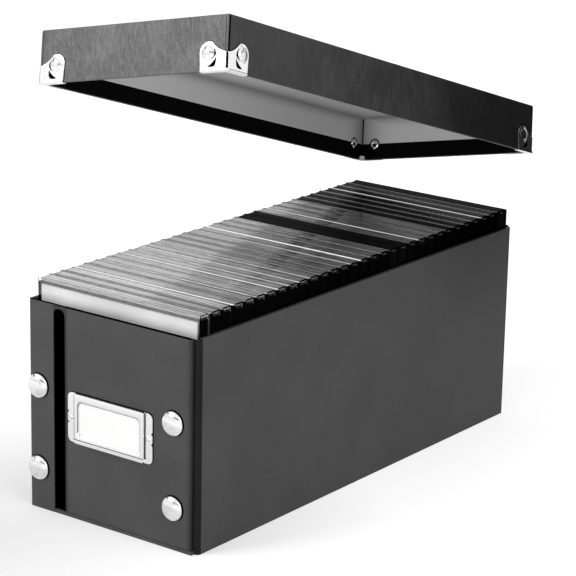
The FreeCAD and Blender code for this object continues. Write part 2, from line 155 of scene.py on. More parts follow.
def pick(piece: Object, what: Pick, test: Test) -> None:
    """Selects the parts of a mesh that pass a test, in edit mode.

    Args:
        piece: The piece that is open in edit mode.
        what: Whether points, edges or faces are picked.
        test: Gets a point's place, an edge's two ends, or a face's middle and normal.
    """
    bpy.ops.mesh.select_mode(type=what.value)
    bpy.ops.mesh.select_all(action="DESELECT")
    mesh = bmesh.from_edit_mesh(piece.data)
    mesh.normal_update()
    parts, shown = {
        Pick.POINTS: (mesh.verts, lambda vert: (vert.co,)),
        Pick.EDGES: (mesh.edges, lambda edge: (edge.verts[0].co, edge.verts[1].co)),
        Pick.FACES: (mesh.faces, lambda face: (face.calc_center_median(), face.normal)),
    }[what]
    for part in parts:
        part.select_set(test(*shown(part)))
    mesh.select_flush_mode()
    bmesh.update_edit_mesh(piece.data)


def extrude(step: Place) -> None:
    """Extrudes what is selected by a step, in edit mode."""
    bpy.ops.mesh.extrude_region_move(TRANSFORM_OT_translate={"value": step})


def face_out() -> None:
    """Turns all faces outwards, in edit mode."""
    bpy.ops.mesh.select_all(action="SELECT")
    bpy.ops.mesh.normals_make_consistent(inside=False)


def tidy_faces() -> None:
    """Merges doubled points and turns all faces outwards, in edit mode."""
    bpy.ops.mesh.select_all(action="SELECT")
    bpy.ops.mesh.remove_doubles(threshold=DOUBLED)
    face_out()


def named(piece: Object, name: str) -> Object:
    """Gives a piece and its mesh their name, and returns the piece."""
    piece.name = piece.data.name = name
    return piece


def added(name: str) -> Object:
    """Names the piece that was just added and takes its place into its mesh."""
    bpy.ops.object.transform_apply(location=True, rotation=True, scale=True)
    return named(bpy.context.object, name)


def block(name: str, low: Place, high: Place) -> Object:
    """Adds a board between two corners, ready to be shaped.

    Args:
        name: The piece's name.
        low: Its lowest corner.
        high: Its highest corner.

    Returns:
        The piece, with its place in its mesh.
    """
    near, far = Vector(low), Vector(high)
    bpy.ops.object.select_all(action="DESELECT")
    bpy.ops.mesh.primitive_cube_add(size=1, location=(near + far) / 2, scale=far - near)
    return added(name)


def drawn_line(name: str, points: Line, closed: bool = False) -> Object:
    """Draws a chain of edges by extruding one point on to the next.

    Args:
        name: The piece's name.
        points: The places that the chain goes through.
        closed: Whether it goes back to its first point.

    Returns:
        The chain, as a piece without faces.
    """
    stops = [*points, points[0]] if closed else points
    bpy.ops.object.select_all(action="DESELECT")
    bpy.ops.mesh.primitive_plane_add(size=MM, location=stops[0])
    piece = added(name)
    with editing(piece, everything=True):
        bpy.ops.mesh.merge(type="CENTER")
        for here, there in zip(stops, stops[1:]):
            step = Vector(there) - Vector(here)
            bpy.ops.mesh.extrude_vertices_move(TRANSFORM_OT_translate={"value": step})
        if closed:
            bpy.ops.mesh.select_all(action="SELECT")
            bpy.ops.mesh.remove_doubles(threshold=DOUBLED)
    return piece


def raised(piece: Object, height: float) -> Object:
    """Raises a flat piece along Z.

    Args:
        piece: The piece.
        height: How far it is raised.

    Returns:
        The same piece.
    """
    with editing(piece, everything=True):
        extrude((0, 0, height))
        tidy_faces()
    return piece


def plate(name: str, outline: Line, thickness: float) -> Object:
    """Cuts a plate from an outline in X and Y and raises it to its thickness.

    Args:
        name: The piece's name.
        outline: The corners of the plate, in order round it.
        thickness: How far it is raised along Z.

    Returns:
        The plate, standing on the outline's own height.
    """
    piece = drawn_line(name, outline)
    with editing(piece, everything=True):
        bpy.ops.mesh.edge_face_add()
    return raised(piece, thickness)


def strip_between(name: str, first: Line, second: Line, closed: bool = False) -> Object:
    """Bridges two drawn lines with the same number of points.

    Args:
        name: The piece's name.
        first: The points of one line.
        second: The points of the other.
        closed: Whether the lines are rings.

    Returns:
        The strip of faces between them.
    """
    piece = joined(name, [drawn_line(name, line, closed) for line in (first, second)])
    with editing(piece, everything=True):
        bpy.ops.mesh.bridge_edge_loops()
    return piece


def turned(name: str, profile: Sequence[tuple[float, float]], steps: int = 40) -> Object:
    """Turns a profile about Z, as on a lathe.

    Args:
        name: The piece's name.
        profile: Radius and height of each point of the profile.
        steps: How many parts the turn has.

    Returns:
        The turned piece on the origin.
    """
    piece = drawn_line(name, [(radius, 0.0, height) for radius, height in profile])
    with editing(piece, everything=True):
        bpy.ops.mesh.spin(steps=steps, angle=math.tau, center=(0, 0, 0), axis=(0, 0, 1))
        tidy_faces()
    return piece


def shell(name: str, low: Place, high: Place, thickness: float, opened: Test) -> Object:
    """Builds a board box that is open on some sides.

    Args:
        name: The piece's name.
        low: Its lowest outer corner.
        high: Its highest outer corner.
        thickness: The thickness of its walls.
        opened: Says whether the side with a middle and a normal is left out.

    Returns:
        The shell with square edges.
    """
    piece = block(name, low, high)
    with editing(piece):
        pick(piece, Pick.FACES, opened)
        bpy.ops.mesh.delete(type="ONLY_FACE")
    finish_with(piece, "SOLIDIFY", thickness=thickness, offset=-1.0, use_even_offset=True)
    return piece


def above(level: float) -> Test:
    """The test for edges that lie wholly above a level."""
    return lambda a, b: min(a.z, b.z) > level


def round_edges(piece: Object, width: float, segments: int, test: Test) -> None:
    """Rounds the edges that pass a test.

    Args:
        piece: The piece.
        width: How far the rounding reaches from the edge.
        segments: How many parts it has.
        test: Says whether the edge between two places is rounded.
    """
    with editing(piece):
        pick(piece, Pick.EDGES, test)
        bpy.ops.mesh.bevel(offset=width, segments=segments, affect="EDGES", clamp_overlap=True)
        tidy_faces()


def pull_faces(piece: Object, by: Place, test: Test) -> None:
    """Extrudes the faces that pass a test.

    Args:
        piece: The piece.
        by: How far the faces move.
        test: Says whether the face with a middle and a normal is pulled.
    """
    with editing(piece):
        pick(piece, Pick.FACES, test)
        extrude(by)


def score(piece: Object, place: Place, across: Place) -> None:
    """Divides a piece's faces along a plane, given by a point on it and its normal."""
    with editing(piece, everything=True):
        bpy.ops.mesh.bisect(plane_co=place, plane_no=across)


def finish_with(piece: Object, kind: str, **settings: object) -> None:
    """Adds a modifier and applies it.

    Args:
        piece: The piece.
        kind: The modifier's type.
        **settings: Its settings.
    """
    hold(piece)
    modifier = piece.modifiers.new(kind.title(), kind)
    for name, value in settings.items():
        setattr(modifier, name, value)
    bpy.ops.object.modifier_apply(modifier=modifier.name)


def cut_away(piece: Object, tool: Object) -> None:
    """Cuts a closed mesh out of a piece and removes it."""
    finish_with(piece, "BOOLEAN", operation="DIFFERENCE", object=tool, solver="EXACT")
    bpy.data.objects.remove(tool)


def lay(piece: Object, place: Matrix) -> Object:
    """Moves a piece to its place, inside its mesh.

    Args:
        piece: The piece.
        place: The move.

    Returns:
        The same piece.
    """
    piece.data.transform(place)
    if place.determinant() < 0:
        with editing(piece):
            face_out()
    return piece


def copy_at(piece: Object, place: Matrix, name: str) -> Object:
    """Copies a piece, with a mesh of its own, to another place.

    Args:
        piece: The piece that is copied.
        place: The move from the piece to its copy.
        name: The copy's name.

    Returns:
        The copy.
    """
    copy = bpy.data.objects.new(name, piece.data.copy())
    bpy.context.scene.collection.objects.link(copy)
    return lay(copy, place)


def joined(name: str, parts: Sequence[Object]) -> Object:
    """Joins meshes into one piece.

    Args:
        name: The joined piece's name.
        parts: The meshes, which are used up.

    Returns:
        The joined piece.
    """
    hold(parts[0])
    for part in parts[1:]:
        part.select_set(True)
    if len(parts) > 1:
        bpy.ops.object.join()
    return named(parts[0], name)


def set_out(name: str, pattern: Object, places: Sequence[Matrix]) -> Object:
    """Sets copies of one pattern out at many places as one piece.

    Args:
        name: The piece's name.
        pattern: The piece that is copied and then removed.
        places: The moves from the pattern to each copy.

    Returns:
        The piece with all the copies.
    """
    copies = [copy_at(pattern, place, f"{name}_{number}") for number, place in enumerate(places)]
    bpy.data.objects.remove(pattern)
    return joined(name, copies)


def smooth(piece: Object, angle: float) -> None:
    """Shades a piece smooth where its faces meet at less than an angle in degrees."""
    hold(piece)
    bpy.ops.object.shade_smooth_by_angle(angle=math.radians(angle))


def even_shading(piece: Object, angle: float = FLAT) -> None:
    """Shades a piece smooth up to an angle in degrees, with its large faces kept flat."""
    smooth(piece, angle)
    finish_with(piece, "WEIGHTED_NORMAL", keep_sharp=True, weight=80)


def arc(middle: Place, radius: float, start: float, end: float, parts: int) -> list[Vector]:
    """Points along an arc in X and Y.

    Args:
        middle: The arc's middle.
        radius: Its radius.
        start: The angle of its first point, in degrees.
        end: The angle of its last point, in degrees.
        parts: How many runs it has.

    Returns:
        The points, both ends included.
    """
    centre = Vector((*middle, 0.0))
    angles = [math.radians(start + (end - start) * step / parts) for step in range(parts + 1)]
    return [centre + radius * Vector((math.cos(angle), math.sin(angle), 0.0)) for angle in angles]


def corner_ring(half_x: float, half_y: float, radius: float, z: float) -> list[Vector]:
    """A ring round a rectangle with round corners.

    Args:
        half_x: Half its width.
        half_y: Half its height.
        radius: The corners' radius.
        z: The ring's own height.

    Returns:
        The ring's points, without the first one repeated.
    """
    points = []
    for turn, (side_x, side_y) in enumerate(((1, 1), (-1, 1), (-1, -1), (1, -1))):
        middle = (side_x * (half_x - radius), side_y * (half_y - radius))
        points += arc(middle, radius, 90 * turn, 90 * turn + 90, CORNER_RUNS)
    return [Vector((p.x, p.y, z)) for p in points]


def mirrored(points: Sequence[Vector]) -> list[Vector]:
    """The points mirrored in Y, in the opposite order."""
    return [Vector((p.x, -p.y, p.z)) for p in reversed(points)]


def facing_front(x: float, y: float, z: float) -> Matrix:
    """The move that sets a piece made along Z at a place on the front plane, facing out."""
    return Matrix.Translation((x, y, z)) @ Matrix.Rotation(math.pi / 2, 4, "X")


# Finishes


class NodeBench:
    """A node tree and the moves that build it."""

    def __init__(self, tree: NodeTree) -> None:
        """Takes over a tree and clears it."""
        self.tree = tree
        tree.nodes.clear()

    def join(self, socket: NodeSocket, value: object) -> None:
        """Sets an input, or links a socket to it.

        Args:
            socket: The input.
            value: The socket that feeds it, or its value; a colour may lack its alpha.
        """
        if isinstance(value, NodeSocket):
            self.tree.links.new(value, socket)
        else:
            bare = socket.type == "RGBA" and len(value) == len(WHITE)
            socket.default_value = (*value, 1.0) if bare else value

    def add(self, kind: str, **settings: object) -> Node:
        """Adds a node.

        Args:
            kind: The node's type, without the common prefix.
            **settings: The node's own settings in small letters, and values or sockets by the
                names of its inputs, with spaces as underscores.

        Returns:
            The node.
        """
        node = self.tree.nodes.new(f"ShaderNode{kind}")
        for name, value in settings.items():
            if name[0].isupper():
                self.join(node.inputs[name.replace("_", " ")], value)
            else:
                setattr(node, name, value)
        return node

    def work(self, kind: str, first: Number, second: Number = 0.0) -> NodeSocket:
        """Works out one number from two.

        Args:
            kind: The working, such as ADD or MULTIPLY.
            first: The first number.
            second: The second number.

        Returns:
            The result.
        """
        node = self.add("Math", operation=kind)
        for socket, value in zip(node.inputs, (first, second)):
            self.join(socket, value)
        return node.outputs["Value"]

    def rays(self, *kinds: str) -> NodeSocket:
        """Whether a ray is of one of some kinds.

        Args:
            *kinds: The kinds, such as Camera or Glossy.

        Returns:
            The socket, 1 for a ray of those kinds.
        """
        path = self.add("LightPath")
        seen = path.outputs[f"Is {kinds[0]} Ray"]
        for kind in kinds[1:]:
            seen = self.work("MAXIMUM", seen, path.outputs[f"Is {kind} Ray"])
        return seen


class FinishNodes(NodeBench):
    """The nodes of one finish, round a main shader."""

    def __init__(self, name: str, colour: Colour, roughness: float, **inputs: float) -> None:
        """Starts a material with its plain values set on the shader.

        Args:
            name: The material's name.
            colour: Its plain colour.
            roughness: Its plain roughness.
            **inputs: Other values by the shader's inputs, with spaces as underscores.
        """
        self.material: Material = bpy.data.materials.new(name)
        self.material.use_nodes = True
        super().__init__(self.material.node_tree)
        self.shader = self.add("BsdfPrincipled", Base_Color=colour, Roughness=roughness, **inputs)
        self.add("OutputMaterial", Surface=self.shader.outputs["BSDF"])
        self.material.diffuse_color = (*colour, 1.0)

    def shown(self, **inputs: object) -> Material:
        """Feeds the shader.

        Args:
            **inputs: Values or sockets by the shader's inputs, with spaces as underscores.

        Returns:
            The material.
        """
        for name, value in inputs.items():
            self.join(self.shader.inputs[name.replace("_", " ")], value)
        return self.material

    def place(self, stretch: Place = WHITE, turn: Euler | None = None) -> NodeSocket:
        """The object's own coordinates, turned and then stretched.

        Args:
            stretch: How much each direction is scaled.
            turn: The turn before it.

        Returns:
            The vector socket.
        """
        vector = self.add("TexCoord").outputs["Object"]
        if turn is not None:
            vector = self.add("Mapping", Vector=vector, Rotation=turn).outputs["Vector"]
        return self.add("Mapping", Vector=vector, Scale=stretch).outputs["Vector"]

    def along(self, axis: str, start: float, pitch: float) -> NodeSocket:
        """How many steps of a pitch a point lies from a start along one of the object's axes."""
        parts = self.add("SeparateXYZ", Vector=self.place())
        return self.work("MULTIPLY", self.work("ADD", parts.outputs[axis], -start), 1 / pitch)

    def chance(self, number: NodeSocket, shift: float = 0.0) -> NodeSocket:
        """A value from 0 to 1 that belongs to each whole number, from a set that a shift picks."""
        place = self.work("ADD", self.work("FLOOR", number), shift)
        return self.add("TexWhiteNoise", noise_dimensions="1D", W=place).outputs["Value"]

    def cloud(
        self, vector: NodeSocket, size: float, detail: float, rough: float = 0.5
    ) -> NodeSocket:
        """Soft noise about 0.5: its spots' size in metres, its finer layers and their strength."""
        node = self.add("TexNoise", Vector=vector, Scale=1 / size, Detail=detail, Roughness=rough)
        return node.outputs["Fac"]

    def fibre(self) -> NodeSocket:
        """The faint upright fibre of a paper."""
        return self.cloud(self.place((1.0, 1.0, 2.2)), 0.5 * MM, 4.0, 0.65)

    def pebbles(self, vector: NodeSocket, size: float) -> NodeSocket:
        """Soft rounded cells of a size in metres, low in the middle, as in embossed grain."""
        look = {"feature": "SMOOTH_F1", "Vector": vector, "Scale": 1 / size, "Smoothness": 0.6}
        return self.add("TexVoronoi", **look).outputs["Distance"]

    def spread(
        self, value: NodeSocket, low: float, high: float, to_low: float = 0.0, to_high: float = 1.0
    ) -> NodeSocket:
        """Takes one range of numbers to another, and holds it there.

        Args:
            value: The number.
            low: Where the first range starts.
            high: Where it ends.
            to_low: What its start becomes.
            to_high: What its end becomes.

        Returns:
            The result.
        """
        ranges = {"From_Min": low, "From_Max": high, "To_Min": to_low, "To_Max": to_high}
        return self.add("MapRange", Value=value, **ranges).outputs["Result"]

    def blend(self, share: NodeSocket, first: object = BLACK, second: object = WHITE) -> NodeSocket:
        """Mixes two colours.

        Args:
            share: How much of the second colour shows.
            first: The first colour or socket.
            second: The second colour or socket.

        Returns:
            The mixed colour.
        """
        node = self.add("Mix", data_type="RGBA")
        for number, value in ((0, share), (6, first), (7, second)):
            self.join(node.inputs[number], value)
        return node.outputs[2]

    def relief(
        self, height: NodeSocket, depth: float, under: NodeSocket | None = None
    ) -> NodeSocket:
        """Raises the surface by a height pattern.

        Args:
            height: The pattern, from 0 to 1.
            depth: How far 1 stands up, in metres.
            under: Another relief beneath it.

        Returns:
            The normal socket.
        """
        lower = {} if under is None else {"Normal": under}
        return self.add("Bump", Height=height, Distance=depth, **lower).outputs["Normal"]


@dataclass(frozen=True)
class Covering:
    """Black leather-grain paper over board."""

    name: str
    colour: Colour
    worn: Colour
    roughness: float
    sheen: float
    pebble: float
    pebble_depth: float
    wrinkle: Place = WHITE
    wrinkle_depth: float = 0.0
    turn: Euler | None = None
    # Painted shade: runs across X, each with its darkest place, where the tone is plain again, and
    # its share of dark.
    painted_shade_margins: Sequence[Place] = ()
    dark: Colour = (0.001, 0.001, 0.001)
    fine: float = 0.35
    fine_depth: float = 0.25
    blotch: float = 38 * MM
    fold: float = 3.4 * MM

    def make(self) -> Material:
        """Builds the finish.

        Returns:
            The material.
        """
        nodes = FinishNodes(self.name, self.colour, self.roughness, Specular_IOR_Level=self.sheen)
        plain = nodes.place(turn=self.turn)
        grain = nodes.pebbles(plain, self.pebble)
        fine = nodes.cloud(plain, self.fine * self.pebble, 2.0)
        relief = nodes.relief(grain, self.pebble_depth)
        relief = nodes.relief(fine, self.fine_depth * self.pebble_depth, relief)
        blotches = nodes.cloud(plain, self.blotch, 2.0)
        if self.wrinkle_depth:
            folds = nodes.cloud(nodes.place(self.wrinkle, self.turn), self.fold, 2.5, 0.6)
            relief = nodes.relief(folds, self.wrinkle_depth, relief)
            blotches = nodes.work("ADD", blotches, nodes.spread(folds, 0.35, 0.65, -0.14, 0.14))
        rubbed = nodes.work("ADD", blotches, nodes.spread(grain, 0.2, 0.8, 0.1, -0.1))
        tone = nodes.blend(nodes.spread(rubbed, 0.35, 0.7), self.colour, self.worn)
        # Painted shade: across each run the tone blends towards dark, darkest at the edge.
        for darkest, plain_again, depth in self.painted_shade_margins:
            across = nodes.add("SeparateXYZ", Vector=nodes.place()).outputs["X"]
            share = nodes.spread(across, darkest, plain_again, depth, 0.0)
            tone = nodes.blend(share, tone, self.dark)
        rough = nodes.spread(blotches, 0.3, 0.7, self.roughness - 0.05, self.roughness + 0.07)
        return nodes.shown(Base_Color=tone, Roughness=rough, Normal=relief)


@dataclass(frozen=True)
class Paper:
    """Card or paper with a faint fibre."""

    name: str
    colour: Colour
    shade: Colour
    roughness: float = 0.75
    sheen: float = 0.2
    fibre_depth: float = 0.02 * MM

    def make(self) -> Material:
        """Builds the finish.

        Returns:
            The material.
        """
        nodes = FinishNodes(self.name, self.colour, self.roughness, Specular_IOR_Level=self.sheen)
        fibre = nodes.fibre()
        spots = nodes.cloud(nodes.place(), 30 * MM, 2.0)
        tone = nodes.work("ADD", spots, nodes.spread(fibre, 0.3, 0.7, -0.12, 0.12))
        colour = nodes.blend(nodes.spread(tone, 0.3, 0.7), self.colour, self.shade)
        return nodes.shown(Base_Color=colour, Normal=nodes.relief(fibre, self.fibre_depth))


@dataclass(frozen=True)
class ShadedLiningPaper:
    """Grey paper inside the lid, with painted shade that darkens it towards its folds."""

    name: str
    colour: Colour
    shade_tone: Colour
    half_width: float
    half_length: float
    ceiling: float
    closed: Matrix
    reach: float = 26 * MM
    depth: float = 0.82
    drop: float = 3.2

    def make(self) -> Material:
        """Builds the finish.

        Returns:
            The material.
        """
        nodes = FinishNodes(self.name, self.colour, 0.75, Specular_IOR_Level=0.2)
        held = nodes.add("TexCoord").outputs["Object"]
        spot, turn = self.closed.translation, self.closed.to_euler("XYZ")
        shut = nodes.add("Mapping", Vector=held, Location=spot, Rotation=turn).outputs["Vector"]
        parts = nodes.add("SeparateXYZ", Vector=shut).outputs
        side, end = (
            nodes.work("SUBTRACT", half, nodes.work("ABSOLUTE", parts[axis]))
            for axis, half in (("X", self.half_width), ("Y", self.half_length))
        )
        above = nodes.work("MULTIPLY", nodes.work("SUBTRACT", self.ceiling, parts["Z"]), self.drop)
        least = nodes.work("MINIMUM", side, end)
        other = nodes.work("MINIMUM", nodes.work("MAXIMUM", side, end), above)
        fold = nodes.work("MAXIMUM", least, other)
        # Painted shade: the paper darkens near its corners and where its walls meet the ceiling.
        share = nodes.spread(fold, 0.0, self.reach, self.depth, 0.0)
        fibre = nodes.fibre()
        share = nodes.work("MULTIPLY", share, share)
        share = nodes.work("ADD", share, nodes.spread(fibre, 0.3, 0.7, 0.0, 0.08))
        colour = nodes.blend(share, self.colour, self.shade_tone)
        return nodes.shown(Base_Color=colour, Normal=nodes.relief(fibre, 0.02 * MM))


@dataclass(frozen=True)
class Nickel:
    """Bright plated metal with fine rubbing."""

    name: str
    colour: Colour = (0.84, 0.84, 0.85)
    darker_tone: Colour = (0.60, 0.60, 0.61)
    roughness: float = 0.16
    rubbed: tuple[float, float] = (0.52, 0.72)

    def make(self) -> Material:
        """Builds the finish.

        Returns:
            The material.
        """
        nodes = FinishNodes(self.name, self.colour, self.roughness, Metallic=1.0)
        smear = nodes.cloud(nodes.place(), 2.4 * MM, 4.0, 0.6)
        rub = nodes.cloud(nodes.place((1.0, 1.0, 7.0)), 0.5 * MM, 2.0)
        return nodes.shown(
            Roughness=nodes.spread(smear, 0.3, 0.7, self.roughness - 0.05, self.roughness + 0.1),
            Base_Color=nodes.blend(nodes.spread(smear, *self.rubbed), self.colour, self.darker_tone),
            Normal=nodes.relief(rub, 0.002 * MM, nodes.relief(smear, 0.012 * MM)),
        )


@dataclass(frozen=True)
class Moulding:
    """Moulded styrene, clear or black."""

    name: str
    colour: Colour
    roughness: float
    clear: float = 0.0
    index: float = 1.58
    sheen: float = 0.5

    def make(self) -> Material:
        """Builds the finish.

        Returns:
            The material.
        """
        values = {"Transmission_Weight": self.clear, "Specular_IOR_Level": self.sheen}
        nodes = FinishNodes(self.name, self.colour, self.roughness, IOR=self.index, **values)
        scuffs = nodes.cloud(nodes.place((1.0, 1.0, 0.3)), 1.6 * MM, 4.0, 0.7)
        if self.clear:
            lit = nodes.rays("Shadow", "Diffuse")
            nodes.shown(Alpha=nodes.spread(lit, 0.0, 1.0, 1.0, 0.05))
        return nodes.shown(
            Roughness=nodes.spread(scuffs, 0.45, 0.75, self.roughness, self.roughness + 0.16),
            Normal=nodes.relief(nodes.cloud(nodes.place(), 9 * MM, 1.0), 0.05 * MM),
        )


@dataclass(frozen=True)
class PrintedPaper:
    """Papers of cases, each with a tone of its own and printed with plain bars."""

    name: str
    axis: str
    first: float
    pitch: float
    bars: int
    tones: tuple[float, float]
    shade_run: tuple[float, float]
    own: tuple[float, float] = (0.55, 1.0)
    bar: tuple[float, float] = (0.5, 1.25)

    def make(self) -> Material:
        """Builds the finish.

        Returns:
            The material.
        """
        nodes = FinishNodes(self.name, (0.4, 0.4, 0.4), 0.55, Specular_IOR_Level=0.3)
        along = nodes.along(self.axis, self.first, self.pitch)
        bar = nodes.chance(nodes.work("MULTIPLY", along, float(self.bars)), 0.5)
        worn = nodes.cloud(nodes.place((0.3, 1.0, 0.3)), 14 * MM, 2.0)
        # Painted shade: across the run the tone falls from the first of the tones to the second.
        tone = nodes.spread(along, *self.shade_run, *self.tones)
        for share in (
            nodes.spread(nodes.chance(along), 0.0, 1.0, *self.own),
            nodes.spread(bar, 0.4, 0.8, *self.bar),
            nodes.spread(worn, 0.3, 0.7, 0.85, 1.15),
        ):
            tone = nodes.work("MULTIPLY", tone, share)
        return nodes.shown(Base_Color=nodes.blend(tone))


@dataclass(frozen=True)
class EdgeHighlights:
    """Polished edges of clear mouldings as painted highlights; some are brighter than others."""

    name: str
    first: float
    pitch: float
    bright: float = 0.9
    dim: float = 0.16
    glowing: Sequence[int] = (5, 6, 14, 17, 27, 29, 30, 42, 56)
    glow: float = 0.55

    def make(self) -> Material:
        """Builds the finish.

        Returns:
            The material.
        """
        nodes = FinishNodes(self.name, (0.5, 0.5, 0.5), 0.3, Specular_IOR_Level=0.5)
        along = nodes.along("Y", self.first, self.pitch)
        # Painted shade: the edges go from bright to dim down the row.
        base = nodes.spread(along, 16.0, 48.0, self.bright, self.dim)
        own = nodes.spread(nodes.chance(along, 0.25), 0.5, 0.75, 0.36, 1.0)
        scuffs = nodes.cloud(nodes.place((1.0, 0.2, 0.2)), 5 * MM, 3.0)
        tone = nodes.work("MULTIPLY", base, own)
        tone = nodes.work("MULTIPLY", tone, nodes.spread(scuffs, 0.35, 0.65, 0.7, 1.1))
        # Painted highlight: the edges of the listed cases glow.
        number = nodes.work("FLOOR", along)
        lit, *others = [nodes.work("COMPARE", number, float(place)) for place in self.glowing]
        for other in others:
            lit = nodes.work("ADD", lit, other)
        return nodes.shown(
            Base_Color=nodes.blend(tone),
            Emission_Color=WHITE,
            Emission_Strength=nodes.work("MULTIPLY", lit, self.glow),
        )


@dataclass(frozen=True)
class ShadedGrooveCovering:
    """Covering pressed into a groove, with painted shade: blacker the deeper it lies."""

    name: str
    colour: Colour
    shade_tone: Colour
    attribute: str

    def make(self) -> Material:
        """Builds the finish.

        Returns:
            The material.
        """
        nodes = FinishNodes(self.name, self.colour, 0.7, Specular_IOR_Level=0.0)
        sunk = nodes.add("Attribute", attribute_name=self.attribute).outputs["Fac"]
        # Painted shade: the tone blends to near-black with the groove's depth.
        colour = nodes.blend(nodes.spread(sunk, 0.10, 0.40), self.colour, self.shade_tone)
        grain = nodes.pebbles(nodes.place(), 0.9 * MM)
        return nodes.shown(Base_Color=colour, Normal=nodes.relief(grain, 0.03 * MM))


@dataclass(frozen=True)
class DiscMetal:
    """Mirror layer of a disc under lacquer, with faint rings."""

    name: str

    def make(self) -> Material:
        """Builds the finish.

        Returns:
            The material.
        """
        nodes = FinishNodes(self.name, (0.72, 0.73, 0.75), 0.18, Metallic=1.0, Coat_Weight=0.6)
        pattern = {"wave_type": "RINGS", "rings_direction": "Y"}
        rings = nodes.add("TexWave", Vector=nodes.place(), Scale=260.0, **pattern).outputs["Fac"]
        return nodes.shown(Roughness=nodes.spread(rings, 0.0, 1.0, 0.12, 0.24))


@dataclass(frozen=True)
class StudioFloor:
    """Pale floor that shows as white to the camera but keeps the shadow."""

    name: str = "studio_floor"
    colour: Colour = (0.86, 0.86, 0.86)
    # Painted shadow: the glow is least round the middle, in front of the box's left corner, and
    # full beyond the reach.
    near_lift: float = 0.14
    far_lift: float = 0.58
    middle: tuple[float, float] = (-0.06, -0.24)
    reach: tuple[float, float] = (0.02, 0.27)
    mirrored: float = 0.6

    def make(self) -> Material:
        """Builds the finish.

        Returns:
            The material.
        """
        nodes = FinishNodes(self.name, self.colour, 0.9, Specular_IOR_Level=0.0)
        mirrored = nodes.work("MULTIPLY", nodes.rays("Glossy"), self.mirrored)
        seen = nodes.work("MAXIMUM", nodes.rays("Camera"), mirrored)
        seen = nodes.work("MAXIMUM", seen, nodes.rays("Transmission"))
        length = nodes.add("VectorMath", operation="DISTANCE", Vector=nodes.place())
        nodes.join(length.inputs[1], (*self.middle, 0.0))
        lift = nodes.spread(length.outputs["Value"], *self.reach, self.near_lift, self.far_lift)
        lift = nodes.work("MULTIPLY", seen, lift)
        return nodes.shown(Emission_Color=WHITE, Emission_Strength=lift)


def grey(level: float, blue: float = 0.0) -> Colour:
    """A grey of a level, with a little more blue where that is given."""
    return (level, level, level + blue)


